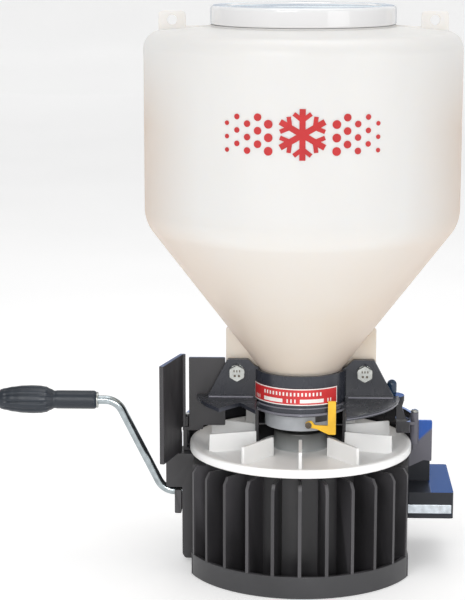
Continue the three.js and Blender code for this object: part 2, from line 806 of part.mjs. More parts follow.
// straight runs between corners in the crank's own plane, each corner a rounded bend
function bentPath(corners, bendRadius, bendSteps) {
  const points = corners.map(([x, z]) => new THREE.Vector3(x, 0, z));
  const stations = [];
  const add = (point, tangent) => stations.push({ point, tangent });
  add(points[0], points[1].clone().sub(points[0]).normalize());
  for (let i = 1; i < points.length - 1; i += 1) {
    const before = points[i].clone().sub(points[i - 1]).normalize();
    const after = points[i + 1].clone().sub(points[i]).normalize();
    const turn = before.angleTo(after);
    const cut = bendRadius * Math.tan(turn / 2);
    const start = points[i].clone().addScaledVector(before, -cut);
    const inward = after.clone().sub(before.clone().multiplyScalar(before.dot(after))).normalize();
    const centre = start.clone().addScaledVector(inward, bendRadius);
    for (let k = 0; k <= bendSteps; k += 1) {
      const angle = turn * k / bendSteps;
      const point = centre.clone()
        .addScaledVector(inward, -bendRadius * Math.cos(angle))
        .addScaledVector(before, bendRadius * Math.sin(angle));
      const ahead = before.clone().multiplyScalar(Math.cos(angle));
      add(point, ahead.addScaledVector(inward, Math.sin(angle)));
    }
  }
  const end = points.length - 1;
  add(points[end], points[end].clone().sub(points[end - 1]).normalize());
  return new StationCurve(stations);
}

function crankRod() {
  const path = bentPath([
    [ROD_IN, CRANK_Z],
    [BEND_X, CRANK_Z],
    [ELBOW_X, HANDLE_Z],
    [ROD_OUT, HANDLE_Z],
  ], 17, 5);
  const circle = new THREE.Shape();
  circle.absarc(0, 0, ROD_R, 0, 4 * QUARTER, false);
  const geometry = new THREE.ExtrudeGeometry(circle, {
    steps: path.stations.length - 1,
    extrudePath: path,
    curveSegments: 14,
    bevelEnabled: false,
  });
  return solid(geometry).subtract(bar('y', 1.2 + GAP, -20, 20, [GEAR_PIN_X, CRANK_Z], SMALL));
}

const GRIP_PROFILE = [
  [ROD_R + GAP, GRIP_IN],
  [7.4, GRIP_IN],
  [8.4, GRIP_IN - 1.5],
  [8.4, GRIP_IN - 38],
  [9.6, GRIP_IN - 41],
  [12.2, GRIP_IN - 48],
  [12.8, GRIP_IN - 56],
  [12.6, GRIP_IN - 66],
  [11.4, GRIP_IN - 78],
  [9.6, GRIP_OUT + 2],
  [8.4, GRIP_OUT],
  [7.4, GRIP_OUT],
  [7.4, GRIP_OUT + 8],
  [ROD_R + GAP, GRIP_OUT + 8],
];

function ringOnHandle(radius, x0, x1) {
  const centre = [0, HANDLE_Z];
  return bar('x', radius, x0, x1, centre).subtract(bar('x', ROD_R + GAP, x0 - 1, x1 + 1, centre));
}

// [radius, x] is drawn as [radius, height], so the height runs along x once it is laid down
function grip() {
  return turned(GRIP_PROFILE, MEDIUM).rotate([0, 90, 0]).translate([0, 0, HANDLE_Z]);
}

piece('crank_rod', crankRod(), steel);
piece('grip_washer', ringOnHandle(7.4, GRIP_IN + GAP, GRIP_IN + 1.6), steel);
piece('crank_grip', grip(), gripBlack);
piece('grip_push_nut', ringOnHandle(6.4, GRIP_OUT + 5.6, GRIP_OUT + 7.4), steel);
piece('grip_cap', bar('x', 7.1, GRIP_OUT, GRIP_OUT + 3.6, [0, HANDLE_Z], MEDIUM), gripBlack);

// ---------------------------------------------------------------- base
function baseOutline(inset) {
  const radius = DRUM_R - inset;
  const side = SIDE_X - inset;
  const angle = Math.acos(side / radius);
  const shape = new THREE.Shape();
  shape.absarc(0, 0, radius, -2 * QUARTER + angle, -angle, false);
  shape.lineTo(side, CORNER_Y - inset * 0.4);
  shape.lineTo(CORNER_X - inset * 0.4, BACK_Y - inset);
  shape.lineTo(-CORNER_X + inset * 0.4, BACK_Y - inset);
  shape.lineTo(-side, CORNER_Y - inset * 0.4);
  shape.closePath();
  return shape;
}

function fin() {
  const top = BASE_TOP;
  const blade = plate(outline([
    [INNER_R - 1, 1],
    [DRUM_R - WALL + 0.5, 1],
    [DRUM_R - WALL + 0.5, RING_H - 1],
    [DRUM_R, RING_H - 1],
    [DRUM_R, top - 6],
    [DRUM_R - 4, top],
    [INNER_R - 1, top],
  ]), -FIN_T / 2, FIN_T / 2);
  return blade.rotate([0, 0, -90]);
}

function crankBlock() {
  const upper = plate(outline([
    [-SIDE_X + 1, CRANK_Z + 6],
    [-SIDE_X + 1, BLOCK_TOP],
    [BLOCK_X, BLOCK_TOP],
    [BLOCK_X, CRANK_Z + 6],
  ], 2), BLOCK_Y0, BLOCK_Y1);
  const lower = plate(outline([
    [-SIDE_X + 1, 4],
    [-SIDE_X + 1, CRANK_Z + 7],
    [-107.6, CRANK_Z + 7],
    [-107.6, 8],
    [-105, 4],
  ], 1.5), BLOCK_Y0, BLOCK_Y1);
  // room for the crank arm where it starts to bend
  const sweep = bar('x', 8, BLOCK_X - 5, -111, [0, CRANK_Z]);
  return upper.add(lower).subtract(sweep);
}

function coverScrewPlaces() {
  return COVER_ANGLES.map((angle) => {
    const a = THREE.MathUtils.degToRad(angle);
    return [COVER_SCREW_R * Math.cos(a), COVER_SCREW_R * Math.sin(a)];
  });
}

function baseHousing() {
  const skirt = slab(baseOutline(0), 0, RING_H, ARC).subtract(slab(baseOutline(WALL), -1, RING_H + 1, ARC));
  const floor = slab(baseOutline(WALL - 0.5), 1, 4, ARC);
  const rear = slab(baseOutline(0), RING_H - 1, BASE_TOP, ARC)
    .intersect(box(-BOX_FAR, BOX_FAR, BACK_BODY_Y, BOX_FAR, 0, BOX_FAR));
  const hollow = slab(baseOutline(WALL), -1, BASE_TOP - WALL, ARC)
    .intersect(box(-BOX_FAR, BOX_FAR, BACK_BODY_Y + WALL, BOX_FAR, -1, BOX_FAR));
  const drum = bar('z', INNER_R, 1, BASE_TOP, [0, 0], LARGE);
  const fins = [];
  const blade = fin();
  for (let i = -FIN_SIDE; i <= FIN_SIDE; i += 1) {
    fins.push(blade.rotate([0, 0, THREE.MathUtils.radToDeg(i * FIN_STEP)]));
  }
  const inside = bar('z', INNER_R - WALL, 0, BASE_TOP - WALL, [0, 0], LARGE);
  const bosses = coverScrewPlaces().map(([x, y]) => bar('z', 5, 6.3, 24, [x, y], SMALL));
  const bushBoss = bar('x', 11, -INNER_R + 1, -60, [0, CRANK_Z], MEDIUM);
  const deckBoss = bar('z', 12, BASE_TOP - 4.6, BASE_TOP, [0, 0], MEDIUM);
  const shell = union([skirt, floor, rear]).subtract(hollow).add(drum).subtract(inside);
  const ribs = [-50, 50].map((x) => box(x - 1.5, x + 1.5, 60, BACK_Y - 1, 12, BASE_TOP - 1));
  const cuts = union([
    bar('z', INNER_R - WALL, -1, 6, [0, 0], LARGE),
    bar('x', BUSH_R + GAP, -INNER_R - 2, -59, [0, CRANK_Z]),
    bar('x', BUSH_R + GAP, -118, -90, [0, CRANK_Z]),
    bar('z', BUSH_R + GAP, BASE_TOP - 10, BASE_TOP + 1),
    ...coverScrewPlaces().map(([x, y]) => bar('z', 1.3 + GAP, 5, 20, [x, y], SMALL)),
    box(-34, 34, 96, BACK_Y + 1, -1, 0.5),
  ]);
  return union([shell, ...fins, ...bosses, bushBoss, deckBoss, crankBlock(), ...ribs]).subtract(cuts);
}

function bottomCover() {
  const top = 6;
  const plateBody = bar('z', INNER_R - WALL - GAP * 2, top - COVER_T, top, [0, 0], LARGE);
  const boss = bar('z', 13, top - 1, 17, [0, 0], MEDIUM);
  const foot = bar('z', FOOT_R, 0, top - COVER_T + 0.2, [0, 0], LARGE);
  const holes = coverScrewPlaces().map(([x, y]) => bar('z', 1.3 + GAP, 0, 8, [x, y], SMALL));
  return plateBody.add(boss).add(foot).subtract(union([bar('z', BUSH_R + GAP, 5.8, 30), ...holes]));
}

function bush(bore, outer, length, flange) {
  return turned([
    [bore, 0],
    [outer, 0],
    [outer, length - 1.8],
    [flange, length - 1.8],
    [flange, length],
    [bore, length],
  ], MEDIUM);
}

piece('base_housing', baseHousing(), black);
piece('bottom_cover', bottomCover(), black);
coverScrewPlaces().forEach(([x, y], i) => {
  const head = bar('z', 3.1, 0.6, 2.5, [x, y], SMALL);
  piece(`cover_screw_${i + 1}`, head.add(bar('z', 1.3, 2, 17, [x, y], SMALL)), steel);
});

const UPPER_BUSH = bush(SHAFT_R + GAP, BUSH_R, 6.9, 11).translate([0, 0, BASE_TOP - 4.8]);
const LOWER_BUSH = bush(SHAFT_R + GAP, BUSH_R, 13, 11).translate([0, 0, 6.1]);
piece('upper_bush', UPPER_BUSH, brass);
piece('lower_bush', LOWER_BUSH, brass);

// the flange of the inner bush faces the gear, and that of the outer bush faces the crank arm
const INNER_BUSH = bush(ROD_R + GAP, BUSH_R, 20, 10).rotate([0, 90, 0]).translate([-77.5, 0, CRANK_Z]);
piece('crank_bush_inner', INNER_BUSH, brass);
piece('crank_bush_outer', bar('x', BUSH_R, -107.6, -96, [0, CRANK_Z])
  .subtract(bar('x', ROD_R + GAP, -130, -80, [0, CRANK_Z])), brass);

// the bearing plate under the crank, screwed to the side of the block
function bearingPlate() {
  return plate(outline([
    [BEARING_X0, 46.5],
    [BEARING_X1, 46.5],
    [BEARING_X1, CRANK_Z + 3],
    [BEARING_X0, CRANK_Z + 3],
  ], 1.5), BLOCK_Y0, -BLOCK_Y0)
    .subtract(bar('x', ROD_R + GAP * 2, -130, -100, [0, CRANK_Z]));
}
piece('bearing_plate', bearingPlate(), black);

// ---------------------------------------------------------------- rear guard
function rearGuard() {
  const end = Math.asin(POST_Y / GUARD_R);
  const leftEnd = Math.asin(21 / GUARD_R);
  const wall = sector(GUARD_R, GUARD_R + WALL, end, 2 * QUARTER - leftEnd, BASE_TOP + GAP, GUARD_TOP, ARC);
  const high = sector(GUARD_R, GUARD_R + WALL, 1, 2 * QUARTER - 1, GUARD_TOP - 1, CANOPY_Z - GAP, 10);
  const shelfPlan = outline([[-52, 88], [52, 88], [52, 105], [-52, 105]], 3);
  const shelf = slab(shelfPlan, CANOPY_Z - GAP - 3, CANOPY_Z - GAP)
    .intersect(bar('z', GUARD_R + 1, 0, 200, [0, 0], LARGE));
  const wing = plate(outline([
    [SIDE_X + 2, 84.4],
    [113.7, 91.8],
    [118.8, 90.9],
    [WING_X, 90.9],
    [WING_X, WING_TOP],
    [DISC_R + 0.8, WING_TOP],
    [DISC_R + 0.8, 103],
    [SIDE_X + 2, 100],
  ], 1.4), POST_Y + 2, POST_Y + 5);
  const post = bar('z', 3.7, 108.5, POST_TOP, [POST_X, POST_Y], MEDIUM);
  const flange = box(STRUT_X, POST_X, POST_Y - 7, POST_Y + 12, 127.4, 130.2);
  const strut = plate(outline([
    [STRUT_X, 118.5],
    [STRUT_X + 13, 118.5],
    [STRUT_X + 13, 130],
    [97, 131],
    [STRUT_X + 5, 142.5],
    [STRUT_X + 6.8, STRUT_TOP],
    [STRUT_X, STRUT_TOP],
  ], 1.5), POST_Y - 2.5, POST_Y + 2.5);
  const screwHoles = [-GUARD_SCREW_X, GUARD_SCREW_X]
    .map((x) => bar('z', 2.3, CANOPY_Z - 14, CANOPY_Z + 1, [x, GUARD_SCREW_Y], SMALL));
  return union([wall, high, shelf, wing, post, flange, strut]).subtract(union([
    ...screwHoles,
    bar('z', 1.6 + GAP, POST_TOP - 12, POST_TOP + 1, [POST_X, POST_Y], SMALL),
  ]));
}

piece('rear_guard', rearGuard(), black);

function panScrew(headR, shankR, top, length, x, y) {
  const under = top - 2.2;
  const head = turned([
    [0, under],
    [headR, under],
    [headR, under + 1],
    [headR * 0.6, top],
    [0, top],
  ], MEDIUM);
  return head.add(bar('z', shankR, top - length, top - 2, [0, 0], SMALL)).translate([x, y, 0]);
}

for (const [side, x] of [['left', -GUARD_SCREW_X], ['right', GUARD_SCREW_X]]) {
  const top = CANOPY_Z + CANOPY_T + 2.5;
  piece(`guard_screw_${side}`, panScrew(4.4, 2, top, 12, x, GUARD_SCREW_Y), steel);
}
piece('post_screw', panScrew(3.7, 1.6, POST_TOP + 2.6, 12, POST_X, POST_Y), steel);

// ---------------------------------------------------------------- side panel, deflector and hinge
function pinBore() {
  return bar('z', PIN_R + GAP, 100, 200, [PIN_X, PIN_Y], SMALL);
}

// the panel stands on a shelf, and the shelf on a leg with a foot that rests on the crank block
function sidePanel() {
  const sheet = plate(outline([
    [PANEL_X0, SHELF_Z - 2],
    [-89, SHELF_Z - 2],
    [-89, VANE_TOP + 0.8],
    [PANEL_X1, VANE_TOP + 0.8],
    [PANEL_X1, PANEL_TOP],
    [PANEL_X0, PANEL_TOP],
  ], 1), PANEL_Y0, PANEL_Y1);
  const shelf = box(-107.7, -92.1, PANEL_Y0, 15, SHELF_Z - 3, SHELF_Z);
  const leg = box(LEG_X0, LEG_X1, PANEL_Y0, 14, BLOCK_TOP + GAP, SHELF_Z - 1);
  const foot = box(LEG_X0, -DISC_R - 0.8, PANEL_Y0, 16, BLOCK_TOP + GAP, BLOCK_TOP + 2.4);
  const brace = plate(outline([[-99, SHELF_Z - 1], [-93, SHELF_Z - 1], [-96, 138], [-99, 138]]), 4, 9);
  return union([sheet, shelf, leg, foot, brace]).subtract(pinBore());
}

function sideDeflector() {
  const sheet = slab(outline([
    FLAP_FRONT,
    [FLAP_FRONT[0] + 4, FLAP_FRONT[1] - 0.8],
    [-107.4, 2.2],
    [-104.8, 2.2],
    [-104.8, 5],
    [-109.6, 5],
  ], 0.6), FLAP_BOTTOM, FLAP_TOP, 2);
  const legRoom = box(LEG_X0 - 1, -90, -6, 20, 100, SHELF_Z - 4);
  const shelfRoom = box(-108.6, -90, -6, 20, SHELF_Z - 5, SHELF_Z + GAP);
  const web = box(-107.4, -103, 3, PIN_Y, SHELF_Z + GAP, KNUCKLE_TOP);
  const knuckle = bar('z', KNUCKLE_R, SHELF_Z + GAP, KNUCKLE_TOP, [PIN_X, PIN_Y], MEDIUM);
  return sheet.subtract(legRoom).subtract(shelfRoom).add(web).add(knuckle).subtract(pinBore());
}

function hingePin() {
  return bar('z', PIN_R, SHELF_Z - 4.5, KNUCKLE_TOP + 1, [PIN_X, PIN_Y], SMALL)
    .add(bar('z', 3, KNUCKLE_TOP + GAP, KNUCKLE_TOP + 2, [PIN_X, PIN_Y], SMALL));
}

piece('side_panel', sidePanel(), black);
piece('side_deflector', sideDeflector(), black);
piece('hinge_pin', hingePin(), steel);

// ---------------------------------------------------------------- side tray

function sideTray() {
  const plan = outline([
    [TRAY_X0, TRAY_Y0],
    [TRAY_X1, TRAY_Y0],
    [TRAY_X1, TRAY_Y1],
    [TRAY_X0, TRAY_Y1],
  ], 3);
  const inner = box(TRAY_X0 + 3, TRAY_X1 - 3, TRAY_Y0 + 4.5, TRAY_Y1 - 3, TRAY_BOTTOM - 1, TRAY_Z - 3);
  const slot = box(TRAY_X0 + 1, TRAY_X1 - 1.5, TRAY_Y0 - 1, TRAY_Y0 + 1.5, STRIP_Z0, STRIP_Z1);
  const rearBox = slab(outline([
    [TRAY_X0, REAR_BOX_Y],
    [REAR_BOX_X, REAR_BOX_Y],
    [REAR_BOX_X, TRAY_Y1],
    [TRAY_X0, TRAY_Y1],
  ], 1), TRAY_Z - 1, REAR_BOX_TOP);
  return slab(plan, TRAY_BOTTOM, TRAY_Z).subtract(inner).subtract(slot).add(rearBox);
}

function trayStrip() {
  return plate(outline([
    [TRAY_X0 + 1 + GAP, STRIP_Z0 + GAP],
    [TRAY_X1 - 1.5 - GAP, STRIP_Z0 + GAP],
    [TRAY_X1 - 1.5 - GAP, STRIP_Z1 - GAP],
    [TRAY_X0 + 1 + GAP, STRIP_Z1 - GAP],
  ], 0.8), TRAY_Y0 - 0.2, TRAY_Y0 + 1.5 - GAP);
}

piece('side_tray', sideTray(), black);
piece('tray_strip', trayStrip(), steel);

// ---------------------------------------------------------------- belly plate
function bellyPlate() {
  const centreY = BACK_Y + GAP + 10 + BELLY_R;
  const half = Math.asin(BELLY_HALF / BELLY_R);
  const shape = new THREE.Shape();
  shape.absarc(0, centreY, BELLY_R, -QUARTER - half, -QUARTER + half, false);
  shape.absarc(0, centreY, BELLY_R + BELLY_T, -QUARTER + half, -QUARTER - half, true);
  shape.closePath();
  const sheet = slab(shape, BELLY_BOTTOM, BELLY_TOP, SMALL);
  const mounts = [-50, 50].map((x) => box(x - 9, x + 9, BACK_Y + GAP, BACK_Y + 9, 40, 90));
  return sheet.add(union(mounts));
}

piece('belly_plate', bellyPlate(), black);

export default spreader;
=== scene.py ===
"""The looks of the hand-crank salt spreader: fine meshes and materials round the fixed frame."""
import json
import math

import bmesh
import bpy
from mathutils import Matrix, Vector


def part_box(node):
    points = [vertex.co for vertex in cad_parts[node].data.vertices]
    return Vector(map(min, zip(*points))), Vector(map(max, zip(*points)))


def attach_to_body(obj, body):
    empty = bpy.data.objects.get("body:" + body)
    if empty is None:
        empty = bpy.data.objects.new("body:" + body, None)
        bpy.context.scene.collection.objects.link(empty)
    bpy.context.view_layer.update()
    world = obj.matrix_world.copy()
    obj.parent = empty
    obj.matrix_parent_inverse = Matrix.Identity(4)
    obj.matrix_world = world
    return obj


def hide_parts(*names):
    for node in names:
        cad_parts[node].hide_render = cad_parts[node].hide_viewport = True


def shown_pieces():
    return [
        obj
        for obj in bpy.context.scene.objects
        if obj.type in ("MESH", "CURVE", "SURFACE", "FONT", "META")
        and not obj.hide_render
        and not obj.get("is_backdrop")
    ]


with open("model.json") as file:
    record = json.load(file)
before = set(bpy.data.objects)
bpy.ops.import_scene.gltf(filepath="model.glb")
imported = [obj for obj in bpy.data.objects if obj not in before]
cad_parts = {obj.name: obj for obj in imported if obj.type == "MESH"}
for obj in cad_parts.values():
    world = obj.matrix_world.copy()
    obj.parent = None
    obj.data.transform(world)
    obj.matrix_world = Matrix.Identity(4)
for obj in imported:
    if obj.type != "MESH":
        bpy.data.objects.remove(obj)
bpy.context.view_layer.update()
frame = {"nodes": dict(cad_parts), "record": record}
MM = 0.001
RECORD = frame["record"]
BODY_OF = {node: body for body, nodes in RECORD["behaviour"]["bodies"].items() for node in nodes}

# --- sizes read from the frame
HOPPER_LOW, HOPPER_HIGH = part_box("hopper")
LID_LOW, LID_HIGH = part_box("hopper_lid")
DISC_LOW, DISC_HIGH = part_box("spinner_disc")
ROD_LOW, ROD_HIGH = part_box("crank_rod")
GRIP_LOW, GRIP_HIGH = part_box("crank_grip")
LABEL_LOW, LABEL_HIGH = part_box("direction_label")
KNOB_LOW, KNOB_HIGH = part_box("lever_knob")

HOPPER_R = HOPPER_HIGH.y
LID_R = LID_HIGH.y
DISC_R = DISC_HIGH.y
ROD_R = (ROD_HIGH.y - ROD_LOW.y) / 2
CRANK_Z = ROD_LOW.z + ROD_R
HANDLE_Z = ROD_HIGH.z - ROD_R
HUB_R = 24.5 * MM
HUB_TOP = 126 * MM
FLOOR_Z = 109.5 * MM
WELD = 1e-6  # vertices nearer than this are one
FLAT_ANGLE = 0.6  # degrees between faces that count as one flat
FRONT = -math.pi / 2  # the angle of the throwing side about the upright axis


# --- mesh helpers
def smooth(obj, angle=32):
    """Smooth shading, with edges sharper than the angle, in degrees, kept crisp."""
    mesh = obj.data
    mesh.polygons.foreach_set("use_smooth", [True] * len(mesh.polygons))
    bm = bmesh.new()
    bm.from_mesh(mesh)
    limit = math.radians(angle)
    for edge in bm.edges:
        edge.smooth = not (len(edge.link_faces) == 2 and edge.calc_face_angle(0) > limit)
    bm.to_mesh(mesh)
    bm.free()
    even = obj.modifiers.new("even_normals", "WEIGHTED_NORMAL")
    even.keep_sharp = True
    return obj


def from_bmesh(name, bm):
    mesh = bpy.data.meshes.new(name)
    bmesh.ops.recalc_face_normals(bm, faces=bm.faces)
    bm.to_mesh(mesh)
    bm.free()
    obj = bpy.data.objects.new(name, mesh)
    bpy.context.scene.collection.objects.link(obj)
    return obj


def rounded(points, radius, steps=4, closed=True):
    """An outline with each corner turned into an arc, no larger than its sides allow."""
    result = []
    count = len(points)
    for i, point in enumerate(points):
        if not closed and i in (0, count - 1):
            result.append(tuple(point))
            continue
        here = Vector(point)
        back = Vector(points[i - 1]) - here
        ahead = Vector(points[(i + 1) % count]) - here
        turn = math.pi - back.angle(ahead)
        if turn < 0.02:
            result.append(tuple(point))
            continue
        reach = min(radius * math.tan(turn / 2), back.length * 0.49, ahead.length * 0.49)
        start = here + back.normalized() * reach
        end = here + ahead.normalized() * reach
        for k in range(steps + 1):
            t = k / steps
            spot = start.lerp(here, t).lerp(here.lerp(end, t), t)
            result.append(tuple(spot))
    return result


def revolve(name, profile, segments=96, centre=(0, 0), closed=True):
    """Turns a profile of (radius, height) points, in metres, about a vertical axis."""
    bm = bmesh.new()
    rings = []
    for r, z in profile:
        if r < 1e-7:
            rings.append([bm.verts.new((centre[0], centre[1], z))])
            continue
        ring = []
        for k in range(segments):
            a = 2 * math.pi * k / segments
            ring.append(bm.verts.new((centre[0] + r * math.cos(a), centre[1] + r * math.sin(a), z)))
        rings.append(ring)
    pairs = list(zip(rings, rings[1:]))
    if closed and len(rings[0]) > 1:
        pairs.append((rings[-1], rings[0]))
    for low, high in pairs:
        for k in range(segments):
            j = (k + 1) % segments
            if len(low) == 1 and len(high) == 1:
                continue
            if len(low) == 1:
                bm.faces.new((low[0], high[j], high[k]))
            elif len(high) == 1:
                bm.faces.new((low[k], low[j], high[0]))
            else:
                bm.faces.new((low[k], low[j], high[j], high[k]))
    return from_bmesh(name, bm)


def tube(bm, rings):
    """Faces from each ring of vertices to the next."""
    for one, two in zip(rings, rings[1:]):
        for k in range(len(one)):
            j = (k + 1) % len(one)
            bm.faces.new((one[k], one[j], two[j], two[k]))


def prism(name, outline, low, high, plane="xy"):
    """Raises a flat outline between two stations, along z or, in the xz plane, along y."""
    bm = bmesh.new()

    def place(point, station):
        x, other = point
        return (x, other, station) if plane == "xy" else (x, station, other)

    bottom = [bm.verts.new(place(p, low)) for p in outline]
    top = [bm.verts.new(place(p, high)) for p in outline]
    bm.faces.new(bottom)
    bm.faces.new(top)
    for i in range(len(outline)):
        j = (i + 1) % len(outline)
        bm.faces.new((bottom[i], bottom[j], top[j], top[i]))
    return from_bmesh(name, bm)


def apply_modifiers(obj):
    graph = bpy.context.evaluated_depsgraph_get()
    mesh = bpy.data.meshes.new_from_object(obj.evaluated_get(graph))
    obj.modifiers.clear()
    obj.data = mesh
    return obj


def bevel(obj, width, segments=2, angle=35):
    modifier = obj.modifiers.new("edge", "BEVEL")
    modifier.width = width
    modifier.segments = segments
    modifier.limit_method = "ANGLE"
    modifier.angle_limit = math.radians(angle)
    modifier.miter_outer = "MITER_ARC"
    return apply_modifiers(obj)


def combine(target, tool, operation="UNION"):
    """Joins, cuts or intersects two closed meshes and removes the tool."""
    modifier = target.modifiers.new("join", "BOOLEAN")
    modifier.operation = operation
    modifier.solver = "MANIFOLD"
    modifier.object = tool
    bpy.context.view_layer.update()
    apply_modifiers(target)
    mesh = tool.data
    bpy.data.objects.remove(tool)
    bpy.data.meshes.remove(mesh)
    return target


def placed(obj, matrix):
    obj.data.transform(matrix)
    return obj


def dress(obj, node, material, angle=32):
    """Gives a new piece its material and lets it stand for its CAD node."""
    obj.data.materials.clear()
    obj.data.materials.append(material)
    smooth(obj, angle)
    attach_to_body(obj, BODY_OF[node])
    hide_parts(node)
    return obj


def attach(obj, body, material):
    """A small extra piece that rides on a body without replacing a node."""
    obj.data.materials.clear()
    obj.data.materials.append(material)
    smooth(obj)
    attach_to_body(obj, body)
    return obj


def attach_to(obj, node, material):
    """A small extra piece on a node's body."""
    return attach(obj, BODY_OF[node], material)


def node_copy(node, suffix):
    """A copy of a CAD node's mesh with its flat faces merged."""
    bm = bmesh.new()
    bm.from_mesh(frame["nodes"][node].data)
    bmesh.ops.remove_doubles(bm, verts=bm.verts, dist=WELD)
    flat = math.radians(FLAT_ANGLE)
    bmesh.ops.dissolve_limit(bm, angle_limit=flat, verts=bm.verts, edges=bm.edges)
    return from_bmesh(node + suffix, bm)


def refined(node, material, width, segments=2):
    """The CAD node's own shape with its edges rounded as a moulding's are."""
    return dress(bevel(node_copy(node, "_moulded"), width, segments), node, material)


# --- materials
def linear(red, green, blue):
    def channel(value):
        value /= 255
        return value / 12.92 if value <= 0.04045 else ((value + 0.055) / 1.055) ** 2.4
    return (channel(red), channel(green), channel(blue), 1)


def shade(color, factor):
    return tuple(min(1, c * factor) for c in color[:3]) + (1,)


class Look:
    """A node material with a principled surface, and short calls for what is wired into it."""

    def __init__(self, name, color, roughness, metallic=0.0):
        self.material = bpy.data.materials.new(name)
        self.material.use_nodes = True
        self.tree = self.material.node_tree
        self.surface = next(n for n in self.tree.nodes if n.type == "BSDF_PRINCIPLED")
        self.place = self.node("ShaderNodeTexCoord").outputs["Object"]
        self.normal = None
        self.put("Base Color", color)
        self.put("Roughness", roughness)
        self.put("Metallic", metallic)

    def node(self, kind, **values):
        node = self.tree.nodes.new(kind)
        for key, value in values.items():
            setattr(node, key, value)
        return node

    def feed(self, socket, value):
        """Gives a socket a value, or wires another node's output to it."""
        if hasattr(value, "links"):
            self.tree.links.new(value, socket)
        else:
            socket.default_value = value

    def put(self, name, value):
        """Feeds one input of the surface."""
        self.feed(self.surface.inputs[name], value)

    def split(self, vector):
        """The x, y and z of a vector, as outputs by their capital letters."""
        split = self.node("ShaderNodeSeparateXYZ")
        self.feed(split.inputs["Vector"], vector)
        return split.outputs

    def noise(self, size, detail=3, stretch=(1, 1, 1)):
        """Noise whose features are about this size, in metres."""
        mapping = self.node("ShaderNodeMapping")
        self.feed(mapping.inputs["Scale"], stretch)
        self.feed(mapping.inputs["Vector"], self.place)
        noise = self.node("ShaderNodeTexNoise")
        self.feed(noise.inputs["Scale"], 1 / size)
        self.feed(noise.inputs["Detail"], detail)
        self.feed(noise.inputs["Vector"], mapping.outputs["Vector"])
        return noise.outputs["Fac"]

    def span(self, source, low, high, from_low=0.3, from_high=0.7):
        span = self.node("ShaderNodeMapRange")
        names = ("Value", "To Min", "To Max", "From Min", "From Max")
        for name, value in zip(names, (source, low, high, from_low, from_high)):
            self.feed(span.inputs[name], value)
        return span.outputs["Result"]

    def mix(self, factor, first, second):
        """A blend of two colours: the second where the factor is 1."""
        mix = self.node("ShaderNodeMix", data_type="RGBA", blend_type="MIX")
        self.feed(mix.inputs["Factor"], factor)
        self.feed(mix.inputs[6], first)
        self.feed(mix.inputs[7], second)
        return mix.outputs[2]

    def clouded(self, color, dark=0.82, light=1.2, size=45 * MM, detail=4):
        """The colour in soft patches between a darker and a lighter shade."""
        patches = self.span(self.noise(size, detail), 0, 1)
        return self.mix(patches, shade(color, dark), shade(color, light))

    def bump(self, height, depth):
        bump = self.node("ShaderNodeBump")
        self.feed(bump.inputs["Strength"], 1)
        self.feed(bump.inputs["Distance"], depth)
        self.feed(bump.inputs["Height"], height)
        if self.normal is not None:
            self.feed(bump.inputs["Normal"], self.normal)
        self.normal = bump.outputs["Normal"]
        self.put("Normal", self.normal)

    def paint(self, color):
        self.put("Base Color", color)

    def vary_roughness(self, source, low, high):
        self.put("Roughness", self.span(source, low, high))

    def waxy(self, weight, radius, depth):
        """Lets light in below the surface, to a depth in metres."""
        self.put("Subsurface Weight", weight)
        self.put("Subsurface Radius", radius)
        self.put("Subsurface Scale", depth)

    def edges(self):
        """How far a point stands out as an edge, from 0 to 1."""
        return self.span(self.node("ShaderNodeNewGeometry").outputs["Pointiness"], 0, 1, 0.52, 0.62)

    def grazing(self, low=0.25, high=0.95):
        """0 where the surface faces the viewer and 1 where it turns away."""
        weight = self.node("ShaderNodeLayerWeight")
        self.feed(weight.inputs["Blend"], 0.5)
        return self.span(weight.outputs["Facing"], 0, 1, low, high)

    def both(self, first, second):
        """The product of two masks."""
        product = self.node("ShaderNodeMath", operation="MULTIPLY")
        self.feed(product.inputs[0], first)
        self.feed(product.inputs[1], second)
        return product.outputs["Value"]

    def inverted(self, mask):
        return self.span(mask, 1, 0, 0, 1)

    def facing_up(self):
        """1 on faces that look straight up."""
        normal = self.node("ShaderNodeNewGeometry").outputs["True Normal"]
        return self.span(self.split(normal)["Z"], 0, 1, 0.9, 0.98)

    def axis(self, name, low, high):
        """0 at the low station and 1 at the high one, along one axis of the object."""
        return self.span(self.split(self.place)[name], 0, 1, low, high)

    def height(self, low, high):
        """0 at the low station and 1 at the high one, up the object."""
        return self.axis("Z", low, high)

    def radius(self, inner, outer):
        """0 within the inner radius about the upright axis and 1 beyond the outer one."""
        place = self.split(self.place)
        flat = self.node("ShaderNodeCombineXYZ")
        for name in ("X", "Y"):
            self.feed(flat.inputs[name], place[name])
        length = self.node("ShaderNodeVectorMath", operation="LENGTH")
        self.feed(length.inputs[0], flat.outputs["Vector"])
        return self.span(length.outputs["Value"], 0, 1, inner, outer)


def moulded_black(name, color, low, high, grain):
    """Black moulded plastic: fine grain, faint flow marks, and edges painted lighter as a
    highlight.
    """
    look = Look(name, color, (low + high) / 2)
    # painted highlight: edges are painted 2.4 times lighter than the body
    look.paint(look.mix(look.edges(), look.clouded(color), shade(color, 2.4)))
    look.vary_roughness(look.noise(14 * MM, 5, (1, 1, 0.35)), low, high)
    look.bump(look.noise(0.9 * MM, 2), grain)
    look.bump(look.noise(22 * MM, 2), 0.04 * MM)
    return look.material


WING_SLOPE = 0.95  # rise of the painted blue reflection's lower edge along x
WING_LINE = 6 * MM  # its height where x is nought
WING_X = 108.4 * MM
POST_X = 99 * MM


